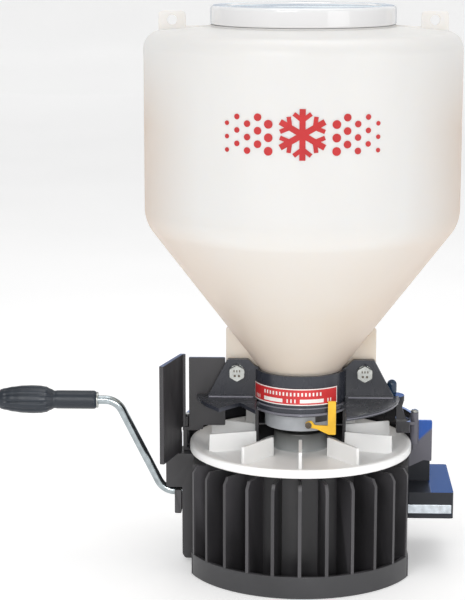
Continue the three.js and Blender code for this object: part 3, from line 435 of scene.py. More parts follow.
def guard_plastic():
    """The glossy black of the guard, with a blue reflection painted above a sloping line across its
    wing.
    """
    color = linear(38, 38, 42)
    look = Look("guard_plastic", color, 0.15)
    place = look.split(look.place)
    rise = look.node("ShaderNodeMath", operation="MULTIPLY_ADD")
    for socket, value in zip(rise.inputs, (place["X"], -WING_SLOPE, place["Z"])):
        look.feed(socket, value)
    above = look.span(rise.outputs["Value"], 0, 1, WING_LINE, WING_LINE + 3 * MM)
    # painted reflection: blue above the sloping line and beyond WING_X
    blue = look.both(above, look.axis("X", WING_X, WING_X + 0.6 * MM))
    post = look.axis("X", POST_X, POST_X + 2 * MM)
    lower = look.mix(post, look.clouded(color), linear(90, 89, 98))
    look.paint(look.mix(blue, lower, linear(10, 74, 156)))
    look.vary_roughness(look.noise(14 * MM, 5), 0.12, 0.24)
    look.bump(look.noise(22 * MM, 2), 0.12 * MM)
    return look.material


def mirroring_black(name, start, end):
    """Glossy black, dull up to a station along x; beyond it a blue reflection is painted on the top
    at a low angle.
    """
    color = linear(38, 40, 46)
    look = Look(name, color, 0.15)
    outboard = look.both(look.axis("X", start, end), look.facing_up())
    # painted reflection: the outboard top turns blue at a low angle
    blue = look.both(outboard, look.grazing(0.5, 0.68))
    look.paint(look.mix(blue, look.clouded(color), linear(3, 56, 116)))
    look.put("Roughness", look.span(outboard, 0.5, 0.16, 0, 1))
    look.put("Specular IOR Level", look.span(outboard, 0.3, 0.04, 0, 1))
    look.bump(look.noise(22 * MM, 2), 0.05 * MM)
    return look.material


CONE_FADE = 240 * MM, 340 * MM  # heights between which the cone's warm tint fades out
TOP_FADE = 405 * MM, 475 * MM  # and between which the painted shade of the sides does


def natural_plastic():
    """Blow-moulded polyethylene: milky, a little waxy, warmer down the cone, with painted shade,
    darker and warmer, on the sides where they turn away.
    """
    color = linear(239, 236, 232)
    look = Look("natural_plastic", color, 0.4)
    look.waxy(0.35, (1.0, 0.85, 0.7), 9 * MM)
    warm = linear(231, 218, 203)
    blend = look.mix(look.height(*CONE_FADE), warm, color)
    cloud = look.span(look.noise(70 * MM, 3, (1, 1, 0.5)), 0, 0.35)
    milky = look.mix(cloud, blend, shade(color, 0.93))
    # painted shade: the sides turn darker and warmer where they face away, less so near the top
    turned = look.both(look.grazing(), look.inverted(look.height(*TOP_FADE)))
    look.paint(look.mix(turned, milky, linear(217, 196, 179)))
    look.vary_roughness(look.noise(30 * MM, 4), 0.34, 0.48)
    look.bump(look.noise(38 * MM, 2, (1, 1, 0.6)), 0.5 * MM)
    look.bump(look.noise(1.6 * MM, 2), 0.012 * MM)
    return look.material


def white_plastic():
    color = linear(243, 243, 242)
    look = Look("white_plastic", color, 0.35)
    look.waxy(0.15, (1.0, 0.95, 0.9), 3 * MM)
    cloud = look.span(look.noise(30 * MM, 3), 0, 0.5)
    clean = look.mix(cloud, color, shade(color, 0.94))
    # painted shade: the hub is darker towards its top, under the ring above it
    hub = look.mix(look.height(FLOOR_Z, HUB_TOP), linear(150, 153, 153), linear(56, 56, 54))
    look.paint(look.mix(look.radius(HUB_R + 0.3 * MM, HUB_R + 2 * MM), hub, clean))
    look.vary_roughness(look.noise(9 * MM, 4), 0.28, 0.42)
    look.bump(look.noise(1.2 * MM, 2), 0.01 * MM)
    return look.material


def clear_lid():
    """Clear cap: its skirt shows the white neck; a streaked blue reflection is painted on its top
    at a low angle, and a blue-grey reflection on its sides where they turn away.
    """
    skirt = linear(240, 240, 241)
    look = Look("clear_lid", skirt, 0.08)
    look.put("IOR", 1.47)
    # painted reflection: blue streaks on the top at a low angle
    reflection_streaks = look.span(look.noise(60 * MM, 1, (1, 2.6, 1)), 0, 1, 0.47, 0.57)
    top = look.mix(reflection_streaks, linear(8, 92, 142), linear(206, 228, 240))
    low_angle = look.both(look.grazing(0.84, 0.92), look.facing_up())
    clear = look.mix(low_angle, skirt, top)
    look.put("Specular IOR Level", look.span(low_angle, 0.5, 0.04, 0, 1))
    look.put("Coat Weight", look.span(low_angle, 0.5, 0, 0, 1))
    # painted reflection: blue-grey on the sides where they turn away
    outline = look.both(look.grazing(0.79, 0.9), look.inverted(look.facing_up()))
    look.paint(look.mix(outline, clear, linear(84, 112, 134)))
    look.vary_roughness(look.noise(12 * MM, 4), 0.05, 0.16)
    look.bump(look.noise(26 * MM, 2), 0.25 * MM)
    return look.material


def colored_plastic(name, color, low, high):
    look = Look(name, color, (low + high) / 2)
    look.paint(look.clouded(color, 0.9, 1.06, 12 * MM, 3))
    look.vary_roughness(look.noise(5 * MM, 4), low, high)
    look.bump(look.noise(0.8 * MM, 2), 0.012 * MM)
    return look.material


def metal(name, color, low, high, stretch=(1, 1, 1), scratch=0.01 * MM):
    look = Look(name, color, (low + high) / 2, 1.0)
    look.paint(look.clouded(color, 0.78, 1.12, 6 * MM))
    look.vary_roughness(look.noise(3 * MM, 5, stretch), low, high)
    look.bump(look.noise(1.1 * MM, 3, stretch), scratch)
    return look.material


BLACK = moulded_black("black_plastic", linear(46, 45, 47), 0.34, 0.5, 0.02 * MM)
BAND = moulded_black("band_plastic", linear(50, 50, 52), 0.3, 0.42, 0.012 * MM)
# painted highlight: a lighter grey for fine beads, so that they show as bright lines along edges
HIGHLIGHT_GREY = moulded_black("worn_plastic", linear(104, 104, 112), 0.25, 0.4, 0.01 * MM)
# its slight blue tint is a painted bluish sheen
SATIN = moulded_black("satin_black_plastic", linear(39, 41, 48), 0.22, 0.34, 0.005 * MM)
# its blue tint is a painted blue reflection
GLOSS = moulded_black("gloss_black_plastic", linear(34, 54, 78), 0.1, 0.2, 0.008 * MM)
GUARD = guard_plastic()
TRAY = mirroring_black("tray_plastic", 117.5 * MM, 119.5 * MM)
PADDLE = mirroring_black("gate_plastic", 70 * MM, 72 * MM)
GRIP = moulded_black("grip_plastic", linear(32, 39, 48), 0.3, 0.45, 0.015 * MM)
NATURAL = natural_plastic()
WHITE = white_plastic()
LID = clear_lid()
GREY = colored_plastic("grey_plastic", linear(164, 167, 171), 0.35, 0.5)
YELLOW = colored_plastic("yellow_plastic", linear(243, 190, 40), 0.3, 0.42)
RED = colored_plastic("red_print", linear(200, 44, 46), 0.35, 0.5)
PRINT_WHITE = colored_plastic("white_print", linear(236, 232, 228), 0.35, 0.5)
NYLON = colored_plastic("gear_nylon", linear(222, 218, 206), 0.4, 0.5)
ZINC = metal("zinc_plate", (0.46, 0.47, 0.45, 1), 0.2, 0.4)
STEEL = metal("bright_steel", (0.55, 0.57, 0.58, 1), 0.2, 0.34, (1, 1, 0.1))
ROD = metal("plated_rod", (0.42, 0.47, 0.49, 1), 0.1, 0.22, (0.15, 1, 1))
DARK_METAL = metal("dark_screw", (0.12, 0.1, 0.08, 1), 0.25, 0.4)
BRONZE = metal("bush_bronze", (0.55, 0.38, 0.2, 1), 0.3, 0.45)
TRIM = metal("bright_trim", (0.62, 0.67, 0.72, 1), 0.25, 0.4, (0.1, 1, 1))


# --- hopper and lid
WALL = 3 * MM
SHOULDER_Z = 485 * MM
SHOULDER_R = 15 * MM
CONE_ANGLE = math.radians(52.7)
CONE_BLEND_R = 34 * MM
SPOUT_R = 37.5 * MM
SPOUT_TOP = 183.4 * MM
NECK_R = 77 * MM
NECK_TOP = HOPPER_HIGH.z - 5 * MM
ROUND = 144  # sides of the largest round pieces
CUT = 1 * MM  # how far a cutting piece reaches beyond what it cuts


def arc(cx, cz, radius, start, end, steps):
    """Points on a circle between two angles in radians."""
    points = []
    for k in range(steps + 1):
        a = start + (end - start) * k / steps
        points.append((cx + radius * math.cos(a), cz + radius * math.sin(a)))
    return points


def hopper_side(inset):
    """The hopper's wall from spout to neck, moved in by an inset."""
    slope = math.tan(CONE_ANGLE)
    normal = CONE_ANGLE - math.pi / 2
    centre_r = HOPPER_R - CONE_BLEND_R
    tangent_r = centre_r + CONE_BLEND_R * math.cos(normal)
    tangent_z = SPOUT_TOP + (tangent_r - SPOUT_R) * slope
    centre_z = tangent_z - CONE_BLEND_R * math.sin(normal)
    spout_z = SPOUT_TOP - inset * slope + inset / math.cos(CONE_ANGLE)
    corner = HOPPER_R - SHOULDER_R
    return [
        (SPOUT_R - inset, HOPPER_LOW.z),
        (SPOUT_R - inset, spout_z - 1 * MM),
        (SPOUT_R - inset + 0.5 * MM, spout_z + 0.6 * MM),
        *arc(centre_r, centre_z, CONE_BLEND_R - inset, normal, 0, 12),
        *arc(corner, SHOULDER_Z - SHOULDER_R, SHOULDER_R - inset, 0, math.pi / 2 * 0.96, 10),
        (NECK_R - inset + 3 * MM, SHOULDER_Z + 4 * MM - inset),
        (NECK_R - inset, SHOULDER_Z + 6 * MM - inset),
        (NECK_R - inset, NECK_TOP),
    ]


EAR_X = 115 * MM
EAR_HOLE_Z = 494 * MM
EAR_HOLE_R = 4.25 * MM
EAR_TOP = 502 * MM


def cross_hole(plate, x, z, radius, segments):
    """Cuts a round hole through an upright plate, along y."""
    reach = 9 * MM
    drill = [(0, -reach), (radius, -reach), (radius, reach), (0, reach)]
    turn = Matrix.Translation((x, 0, z)) @ Matrix.Rotation(math.pi / 2, 4, "X")
    return combine(plate, placed(revolve("hole", drill, segments), turn), "DIFFERENCE")


def ear(side):
    """One of the two holed ears that a strap hooks into."""
    half = 12 * MM
    outline = rounded([
        (side * (EAR_X - half), SHOULDER_Z - 8 * MM),
        (side * (EAR_X + half), SHOULDER_Z - 18 * MM),
        (side * (EAR_X + half), EAR_TOP),
        (side * (EAR_X - half), EAR_TOP),
    ], 4 * MM, 6)
    plate = bevel(prism("ear", outline, -2 * MM, 2 * MM, "xz"), 0.7 * MM, 3)
    return cross_hole(plate, side * EAR_X, EAR_HOLE_Z, EAR_HOLE_R, 32)


def seam(side):
    """The thin parting line that stands up from the shoulder."""
    outline = rounded([
        (side * (NECK_R - 1 * MM), SHOULDER_Z - 3 * MM),
        (side * (EAR_X + 11 * MM), SHOULDER_Z - 12 * MM),
        (side * (EAR_X + 11 * MM), SHOULDER_Z + 3 * MM),
        (side * (NECK_R - 1 * MM), SHOULDER_Z + 5 * MM),
    ], 1.5 * MM)
    return bevel(prism("seam", outline, -1.2 * MM, 1.2 * MM, "xz"), 0.5 * MM)


WEB_HALF = 67.8 * MM
WEB_LOW = 171 * MM
WEB_HIGH = 219 * MM
BOLT_X = 57.5 * MM
BOLT_Z = 179.5 * MM
BOLT_HOLE_R = 4.3 * MM
COLLAR_ROOM = 41.8 * MM
COLLAR_TOP = 183.1 * MM


def web():
    """The flat moulded web that the two bolts clamp to the frame."""
    outline = rounded([
        (-WEB_HALF, WEB_LOW),
        (-COLLAR_ROOM, WEB_LOW),
        (-COLLAR_ROOM, COLLAR_TOP),
        (COLLAR_ROOM, COLLAR_TOP),
        (COLLAR_ROOM, WEB_LOW),
        (WEB_HALF, WEB_LOW),
        (WEB_HALF, WEB_HIGH),
        (-WEB_HALF, WEB_HIGH),
    ], 2 * MM)
    plate = bevel(prism("web", outline, -1.6 * MM, 1.6 * MM, "xz"), 0.5 * MM)
    for side in (-1, 1):
        cross_hole(plate, side * BOLT_X, BOLT_Z, BOLT_HOLE_R, 24)
    return plate


def hopper():
    body = revolve("hopper_shell", [(0, HOPPER_LOW.z), *hopper_side(0), (0, NECK_TOP)], ROUND)
    for side in (-1, 1):
        combine(body, ear(side))
        combine(body, seam(side))
    combine(body, web())
    inside = hopper_side(WALL)
    low, high = HOPPER_LOW.z - CUT, NECK_TOP + CUT
    room = [(0, low), (inside[0][0], low), *inside[1:-1], (NECK_R - WALL, high), (0, high)]
    combine(body, revolve("room", room, ROUND), "DIFFERENCE")
    dress(body, "hopper", NATURAL)


def neck_seat():
    """The raised seat round the neck that the lid's skirt comes down to."""
    inner, outer = NECK_R - 1 * MM, LID_R - 0.3 * MM
    low, high = SHOULDER_Z, LID_LOW.z - 0.3 * MM
    seat = rounded([(inner, low), (outer, low), (outer, high), (inner, high)], 0.4 * MM)
    attach_to(revolve("neck_bead", seat, 128), "hopper", NATURAL)


def lid():
    """A plain cap with a shallow sunk middle and a skirt over the neck."""
    sunk, under, inner = LID_HIGH.z - 1.6 * MM, LID_HIGH.z - 4 * MM, NECK_R + 1 * MM
    profile = rounded([
        (0, sunk),
        (LID_R - 16 * MM, sunk),
        (LID_R - 13 * MM, LID_HIGH.z),
        (LID_R, LID_HIGH.z),
        (LID_R, LID_LOW.z),
        (inner, LID_LOW.z),
        (inner, under),
        (0, under),
    ], 3.2 * MM, 6, closed=False)
    dress(revolve("lid_shell", profile, ROUND, closed=False), "hopper_lid", LID)


# --- emblem on the hopper
EMBLEM_Z = 408 * MM
PRINT_T = 0.25 * MM
PRINT_LIFT = 0.1 * MM
DISC_SIDES = 20
ARM = 21 * MM  # from the middle of the snowflake to a tip
TWIG = 9 * MM
TWIG_TURN = math.radians(52)
GRAIN_START, GRAIN_STEP, GRAIN_RISE = 28 * MM, 9 * MM, 11 * MM


def on_hopper(name, bm):
    """Wraps a flat drawing of (x, z) points onto the hopper's front and prints it in red."""
    for vertex in bm.verts:
        x, depth, z = vertex.co
        r = HOPPER_R + PRINT_LIFT + depth
        a = x / HOPPER_R
        vertex.co = (r * math.sin(a), -r * math.cos(a), z)
    attach(from_bmesh(name, bm), BODY_OF["hopper"], RED)


def towards(angle, length):
    return Vector((math.cos(angle), math.sin(angle))) * length


def flat_bar(bm, start, end, width, thick):
    """A flat bar between two points, cut finely along its length so that it can wrap."""
    start, end = Vector(start), Vector(end)
    along = (end - start).normalized()
    across = Vector((-along.y, along.x)) * width / 2
    steps = max(1, int((end - start).length / (4 * MM)))
    rings = []
    for k in range(steps + 1):
        spot = start.lerp(end, k / steps)
        ring = []
        for side, depth in ((1, thick), (-1, thick), (-1, 0), (1, 0)):
            corner = spot + across * side
            ring.append(bm.verts.new((corner.x, depth, corner.y)))
        rings.append(ring)
    bm.faces.new(rings[0])
    tube(bm, rings)
    bm.faces.new(rings[-1])


def flat_disc(bm, x, z, radius):
    rim = []
    for depth in (0, PRINT_T):
        ring = []
        for k in range(DISC_SIDES):
            a = 2 * math.pi * k / DISC_SIDES
            ring.append(bm.verts.new((x + radius * math.cos(a), depth, z + radius * math.sin(a))))
        bm.faces.new(ring)
        rim.append(ring)
    for k in range(DISC_SIDES):
        j = (k + 1) % DISC_SIDES
        bm.faces.new((rim[0][k], rim[0][j], rim[1][j], rim[1][k]))


def emblem():
    """A plain snowflake between rows of falling grains, printed in red."""
    middle = Vector((0, EMBLEM_Z))
    spokes = [math.pi / 2 + k * math.pi / 3 for k in range(6)]
    for k, a in enumerate(spokes[:3]):
        bm = bmesh.new()
        tip = towards(a, ARM)
        flat_bar(bm, middle - tip, middle + tip, 5 * MM, PRINT_T * (1 + 0.1 * k))
        on_hopper("snowflake_arm_%d" % (k + 1), bm)
    bm = bmesh.new()
    for a in spokes:
        root = middle + towards(a, ARM * 0.55)
        for turn in (-TWIG_TURN, TWIG_TURN):
            flat_bar(bm, root, root + towards(a + turn, TWIG), 3.6 * MM, PRINT_T * 1.4)
    on_hopper("snowflake_twigs", bm)
    bm = bmesh.new()
    for side in (-1, 1):
        for column in range(5):
            shift = (GRAIN_RISE / 2 if column % 2 else 0) - 2.7 * MM
            for row in (-1, 0, 1):
                x = side * (GRAIN_START + column * GRAIN_STEP)
                flat_disc(bm, x, EMBLEM_Z + row * GRAIN_RISE + shift, (3.6 - 0.42 * column) * MM)
    on_hopper("falling_grains", bm)


# --- direction label
# the print on the label, in millimetres along it from its left end and up it from its lower edge
LABEL_START, LABEL_END = math.radians(-76), math.radians(50)
LABEL_LENGTH = -LABEL_LOW.y * (LABEL_END - LABEL_START) / MM
LABEL_RISE = (LABEL_HIGH.z - LABEL_LOW.z) / MM
LABEL_STEPS = 45
BORDER = 0.9
WINDOWS = ((18.8, 39.5), (55.4, 77.5))
TICKS = [20 + 3.4 * k for k in range(17)]
TICK_HALF = 0.75
DOTS = (6, 9, 12, 44, 47.5, 51, 82, 85)
DOT_HALF = 0.6
WINDOW_ROW = (2.2, 5.6)
TICK_ROW = (8.4, 11.6)


def near_mark(u, marks, half):
    return any(abs(u - mark) < half for mark in marks)


def printed_white(u, v):
    """True where the print is white; u runs along the label and v up it."""
    if min(u, LABEL_LENGTH - u, v, LABEL_RISE - v) < BORDER:
        return True
    if WINDOW_ROW[0] < v < WINDOW_ROW[1]:
        in_window = any(near <= u <= far for near, far in WINDOWS)
        return in_window or near_mark(u, DOTS, DOT_HALF)
    return TICK_ROW[0] < v < TICK_ROW[1] and near_mark(u, TICKS, TICK_HALF)


def label_stations():
    """Where the label's mesh is cut along its length, so that each mark has its own faces."""
    cuts = [0, BORDER, LABEL_LENGTH - BORDER, LABEL_LENGTH]
    cuts += [edge for pair in WINDOWS for edge in pair]
    for marks, half in ((TICKS, TICK_HALF), (DOTS, DOT_HALF)):
        cuts += [mark + side * half for mark in marks for side in (-1, 1)]
    cuts += [LABEL_LENGTH * k / LABEL_STEPS for k in range(1, LABEL_STEPS)]
    return sorted(cut for cut in {round(cut, 3) for cut in cuts} if 0 <= cut <= LABEL_LENGTH)


def label():
    """A curved plate round the collar, printed with a border, two windows and plain marks."""
    outer = -LABEL_LOW.y
    inner = outer - 0.5 * MM
    us = label_stations()
    vs = [0, BORDER, *WINDOW_ROW, *TICK_ROW, LABEL_RISE - BORDER, LABEL_RISE]
    bm = bmesh.new()

    def point(u, v, r):
        a = LABEL_START + (u * MM) / outer
        return (r * math.sin(a), -r * math.cos(a), LABEL_LOW.z + v * MM)

    front = [[bm.verts.new(point(u, v, outer)) for v in vs] for u in us]
    back = [[bm.verts.new(point(u, v, inner)) for v in vs] for u in us]
    for i in range(len(us) - 1):
        for j in range(len(vs) - 1):
            corners = (front[i][j], front[i + 1][j], front[i + 1][j + 1], front[i][j + 1])
            face = bm.faces.new(corners)
            middle = (us[i] + us[i + 1]) / 2, (vs[j] + vs[j + 1]) / 2
            face.material_index = int(printed_white(*middle))
            bm.faces.new((back[i][j], back[i][j + 1], back[i + 1][j + 1], back[i + 1][j]))
    last_u, last_v = len(us) - 1, len(vs) - 1
    for i in range(last_u):
        bm.faces.new((front[i][0], back[i][0], back[i + 1][0], front[i + 1][0]))
        bm.faces.new((front[i][last_v], front[i + 1][last_v], back[i + 1][last_v], back[i][last_v]))
    for j in range(last_v):
        bm.faces.new((front[0][j], front[0][j + 1], back[0][j + 1], back[0][j]))
        bm.faces.new((front[last_u][j], back[last_u][j], back[last_u][j + 1], front[last_u][j + 1]))
    obj = from_bmesh("label_plate", bm)
    printed = [face.material_index for face in obj.data.polygons]
    dress(obj, "direction_label", RED)
    obj.data.materials.append(PRINT_WHITE)
    obj.data.polygons.foreach_set("material_index", printed)


# --- spinner
VANE_IN = 42 * MM
VANE_OUT = 86.5 * MM
SHAFT_ROOM = 4.3 * MM
VANE_COUNT = 10
VANE_HALF = 1.5 * MM
RIM_Z = 114.5 * MM
DISH_R = 82 * MM  # where the floor begins to rise to the rim


def spinner():
    """A dished disc with a hub and upright vanes."""
    low = DISC_LOW.z
    profile = rounded([
        (SHAFT_ROOM, HUB_TOP - 4 * MM),
        (HUB_R - 3 * MM, HUB_TOP - 4 * MM),
        (HUB_R - 2 * MM, low),
        (DISC_R, low),
        (DISC_R, RIM_Z),
        (DISC_R - 3.5 * MM, RIM_Z),
        (DISH_R, FLOOR_Z),
        (HUB_R, FLOOR_Z),
        (HUB_R - 0.8 * MM, HUB_TOP),
        (SHAFT_ROOM, HUB_TOP),
    ], 2 * MM, 4)
    disc = revolve("disc_shell", profile, ROUND)
    for k in range(VANE_COUNT):
        a = FRONT + 2 * math.pi * k / VANE_COUNT
        outline = rounded([
            (VANE_IN, FLOOR_Z - 1 * MM),
            (VANE_OUT, FLOOR_Z - 1 * MM),
            (VANE_OUT - 0.6 * MM, DISC_HIGH.z),
            (VANE_IN + 0.4 * MM, DISC_HIGH.z),
        ], 1 * MM)
        vane = bevel(prism("vane", outline, -VANE_HALF, VANE_HALF, "xz"), 0.6 * MM, 3)
        combine(disc, placed(vane, Matrix.Rotation(a, 4, "Z")))
    dress(disc, "spinner_disc", WHITE)


# --- crank and grip
BEND_X = -125 * MM
ELBOW_X = -167.4 * MM
BEND_R = 17 * MM
ROD_SIDES = 40
ROD_CHAMFER = 0.8 * MM


def bent_line(corners, radius, steps):
    """Points and directions along a path of straight runs with round bends, in the xz plane."""
    points = [Vector((x, 0, z)) for x, z in corners]
    path = [(points[0], (points[1] - points[0]).normalized())]
    for i in range(1, len(points) - 1):
        before = (points[i] - points[i - 1]).normalized()
        after = (points[i + 1] - points[i]).normalized()
        turn = before.angle(after)
        start = points[i] - before * radius * math.tan(turn / 2)
        inward = (after - before * before.dot(after)).normalized()
        centre = start + inward * radius
        for k in range(steps + 1):
            a = turn * k / steps
            path.append((
                centre - inward * radius * math.cos(a) + before * radius * math.sin(a),
                before * math.cos(a) + inward * math.sin(a),
            ))
    path.append((points[-1], (points[-1] - points[-2]).normalized()))
    return path


def crank_rod():
    """A round bar bent twice, with its ends chamfered."""
    corners = [
        (ROD_HIGH.x, CRANK_Z), (BEND_X, CRANK_Z), (ELBOW_X, HANDLE_Z), (ROD_LOW.x, HANDLE_Z),
    ]
    (start, ahead), *middle, (end, onward) = bent_line(corners, BEND_R, 14)
    stations = [(start, ahead, ROD_R - ROD_CHAMFER), (start + ahead * ROD_CHAMFER, ahead, ROD_R)]
    stations += [(spot, tangent, ROD_R) for spot, tangent in middle]
    stations += [(end - onward * ROD_CHAMFER, onward, ROD_R), (end, onward, ROD_R - ROD_CHAMFER)]
    bm = bmesh.new()
    rings = []
    side = Vector((0, 1, 0))
    for spot, tangent, radius in stations:
        up = tangent.cross(side)
        rings.append([
            bm.verts.new(spot + (side * math.cos(a) + up * math.sin(a)) * radius)
            for a in (2 * math.pi * k / ROD_SIDES for k in range(ROD_SIDES))
        ])
    tube(bm, rings)
    bm.faces.new(rings[0])
    bm.faces.new(rings[-1])
    dress(from_bmesh("crank_bar", bm), "crank_rod", ROD)


GRIP_NECK_R = 8.4 * MM
GRIP_BULB = (GRIP_HIGH.z - GRIP_LOW.z) / 2 / GRIP_NECK_R
GRIP_BORE_R = 4.3 * MM
CAP_ROOM_R = 7.3 * MM
CAP_ROOM_DEPTH = 8 * MM
GRIP_SIDES = 120
GRIP_STEPS = 72
FLUTES = 10
FLUTE_DEPTH = 1.1 * MM
FLUTE_START, FLUTE_END, FLUTE_FADE = 0.47, 0.97, 0.06
# stations along the grip from the crank's end, with the radius there over the neck's radius
GRIP_PROFILE = (
    (0.0, 0.84), (0.012, 0.97), (0.03, 1.0), (0.25, 1.0), (0.41, 1.0), (0.425, 0.93), (0.44, 1.0),
    (0.47, 1.16), (0.52, 1.4), (0.58, 1.5), (0.66, GRIP_BULB), (0.76, 1.49), (0.86, 1.36),
    (0.94, 1.2), (0.98, 1.1), (0.995, 1.02), (1.0, 0.92),
)


def grip_radius(t):
    """The grip's radius at a share of its length, eased between the stations of its profile."""
    if t == 0:
        return GRIP_NECK_R * GRIP_PROFILE[0][1]
    upper = next(i for i, station in enumerate(GRIP_PROFILE) if station[0] >= t)
    (t0, f0), (t1, f1) = GRIP_PROFILE[upper - 1], GRIP_PROFILE[upper]
    s = (t - t0) / (t1 - t0)
    return GRIP_NECK_R * (f0 + (f1 - f0) * s * s * (3 - 2 * s))


def grip_ring(bm, x, radius_at):
    ring = []
    for k in range(GRIP_SIDES):
        a = 2 * math.pi * k / GRIP_SIDES
        r = radius_at(a)
        ring.append(bm.verts.new((x, r * math.cos(a), HANDLE_Z + r * math.sin(a))))
    return ring


def share(value):
    return max(0, min(1, value))


def grip():
    """A plain neck and a fluted, swollen palm piece that narrows to the end."""
    bm = bmesh.new()
    rings = []
    for k in range(GRIP_STEPS + 1):
        t = k / GRIP_STEPS
        r = grip_radius(t)
        fade = share((t - FLUTE_START) / FLUTE_FADE) * share((FLUTE_END - t) / FLUTE_FADE)
        x = GRIP_HIGH.x - t * (GRIP_HIGH.x - GRIP_LOW.x)
        rings.append(grip_ring(
            bm, x, lambda a: r - FLUTE_DEPTH * fade * max(0, math.cos(FLUTES * a)) ** 2))
    step = GRIP_LOW.x + CAP_ROOM_DEPTH
    bores = [(GRIP_LOW.x, CAP_ROOM_R), (step, CAP_ROOM_R), (step, GRIP_BORE_R)]
    for x, bore in bores + [(GRIP_HIGH.x, GRIP_BORE_R)]:
        rings.append(grip_ring(bm, x, lambda a: bore))
    tube(bm, rings + rings[:1])
    dress(from_bmesh("grip_handle", bm), "crank_grip", GRIP)


# --- knobs and fasteners
def lever_knob():
    """An upright post with a round top."""
    centre = ((KNOB_LOW.x + KNOB_HIGH.x) / 2, (KNOB_LOW.y + KNOB_HIGH.y) / 2)
    r = (KNOB_HIGH.y - KNOB_LOW.y) / 2
    low, high = KNOB_LOW.z, KNOB_HIGH.z
    profile = [(0, low), (r * 0.8, low), (r * 0.92, low + 1 * MM), (r, low + 4 * MM)]
    profile += arc(0, high - r, r, 0.05, math.pi / 2, 10)[:-1] + [(0, high)]
    body = revolve("knob_post", profile, 40, centre, closed=False)
    dress(body, "lever_knob", GLOSS)


FASTENER_EDGE = 0.25 * MM
FASTENER_ANGLE = 25  # degrees
MARK_PROUD = 0.12 * MM
MARK_SUNK = 0.1 * MM
RECESS_TURN = 0.4  # radians the cross recesses are turned by
RECESS_DEPTH = 0.9 * MM


def hex_head(node):
    """A hexagon head with its corners turned off, over a plain shank."""
    obj = node_copy(node, "_turned")
    low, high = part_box(node)
    x, z = (low.x + high.x) / 2, (low.z + high.z) / 2
    front = low.y
    flat = (high.x - low.x) / 2
    narrow, wide, past_shank = flat * 1.1, flat * 1.2, 60 * MM
    cone = revolve("cone", [
        (0, 0), (narrow, 0), (wide, 0.5 * MM), (wide, past_shank), (0, past_shank),
    ], 48)
    placed(cone, Matrix.Translation((x, front, z)) @ Matrix.Rotation(-math.pi / 2, 4, "X"))
    combine(obj, cone, "INTERSECT")
    bevel(obj, FASTENER_EDGE, 2, FASTENER_ANGLE)
    dress(obj, node, ZINC, FASTENER_ANGLE)
    face_marks(node, x, front, z)


def face_marks(node, x, front, z):
    """Plain stamped marks on a bolt's face: three short bars above and two dots below, as thin dark
    pieces whose dark is painted shade in the stamped hollows.
    """
    bars = [(k * 2.5 * MM, 2.2 * MM, 0.55 * MM, 1.1 * MM) for k in (-1, 0, 1)]
    dots = [(k * 1.9 * MM, -2.2 * MM, 0.95 * MM, 1.0 * MM) for k in (-1, 1)]
    for k, (dx, dz, half_x, half_z) in enumerate(bars + dots):
        outline = rounded([
            (x + dx + side * half_x, z + dz + level * half_z)
            for side, level in ((-1, -1), (1, -1), (1, 1), (-1, 1))
        ], 0.5 * MM)
        name = "%s_mark_%d" % (node, k + 1)
        mark = prism(name, outline, front - MARK_PROUD, front + MARK_SUNK, "xz")
        attach_to(mark, node, DARK_METAL)


def screw(node, axis, radius, material=ZINC):
    """A screw with a cross recess; the axis points out of its head, along x, y or z."""
    obj = bevel(node_copy(node, "_driven"), FASTENER_EDGE)
    low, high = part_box(node)
    spot = (low + high) / 2
    for i in range(3):
        if axis[i]:
            spot[i] = high[i] if axis[i] > 0 else low[i]
    turn = Vector((0, 0, 1)).rotation_difference(Vector(axis)).to_matrix().to_4x4()
    long = radius * 0.62
    wide = long * 0.2
    for angle in (RECESS_TURN, RECESS_TURN + math.pi / 2):
        outline = [(-long, -wide), (long, -wide), (long, wide), (-long, wide)]
        slot = prism("slot", outline, -RECESS_DEPTH, RECESS_DEPTH)
        placed(slot, Matrix.Translation(spot) @ turn @ Matrix.Rotation(angle, 4, "Z"))
        combine(obj, slot, "DIFFERENCE")
    dress(obj, node, material)


# --- pieces that keep their CAD shape
# material, edge radius in millimetres, steps round the edge, nodes
MOULDED = (
    (BLACK, 0.45, 2, ("base_housing", "side_panel", "side_deflector", "direction_shroud")),
    (SATIN, 0.6, 2, ("support_frame",)),
    (BLACK, 0.6, 2, ("bearing_plate", "belly_plate", "bottom_cover")),
    (GUARD, 0.5, 2, ("rear_guard",)),
    (TRAY, 0.5, 2, ("side_tray",)),
    (PADDLE, 0.5, 2, ("flow_gate",)),
    (TRIM, 0.4, 2, ("tray_strip",)),
    (GREY, 0.4, 2, ("direction_ring",)),
    (YELLOW, 0.3, 2, ("direction_pointer",)),
    (GRIP, 0.8, 3, ("grip_cap",)),
)
HIDDEN = (
    (BRONZE, 0.3, 2, ("upper_bush", "lower_bush", "crank_bush_inner", "crank_bush_outer")),
    (NYLON, 0.12, 1, ("crank_gear", "spinner_pinion", "thrust_washer")),
    (STEEL, 0.2, 2, (
        "spinner_shaft", "agitator", "shaft_clip", "gear_pin", "pinion_pin", "hinge_pin",
    )),
    (ZINC, 0.25, 2, (
        "bolt_washer_left", "bolt_washer_right", "disc_nut", "hopper_nut_left", "hopper_nut_right",
    )),
    (ZINC, 0.2, 2, ("grip_washer", "grip_push_nut")),
)


def refine_all(groups):
    for material, width, segments, nodes in groups:
        for node in nodes:
            refined(node, material, width * MM, segments)


def partial_ring(name, inner, outer, low, high, start, end, steps, centre_y=0):
    """A closed piece of a ring between two angles in degrees, measured from the front."""
    outline = []
    for r, angles in ((outer, range(steps + 1)), (inner, range(steps, -1, -1))):
        for k in angles:
            a = math.radians(start + (end - start) * k / steps)
            outline.append((r * math.sin(a), centre_y - r * math.cos(a)))
    return prism(name, outline, low, high)


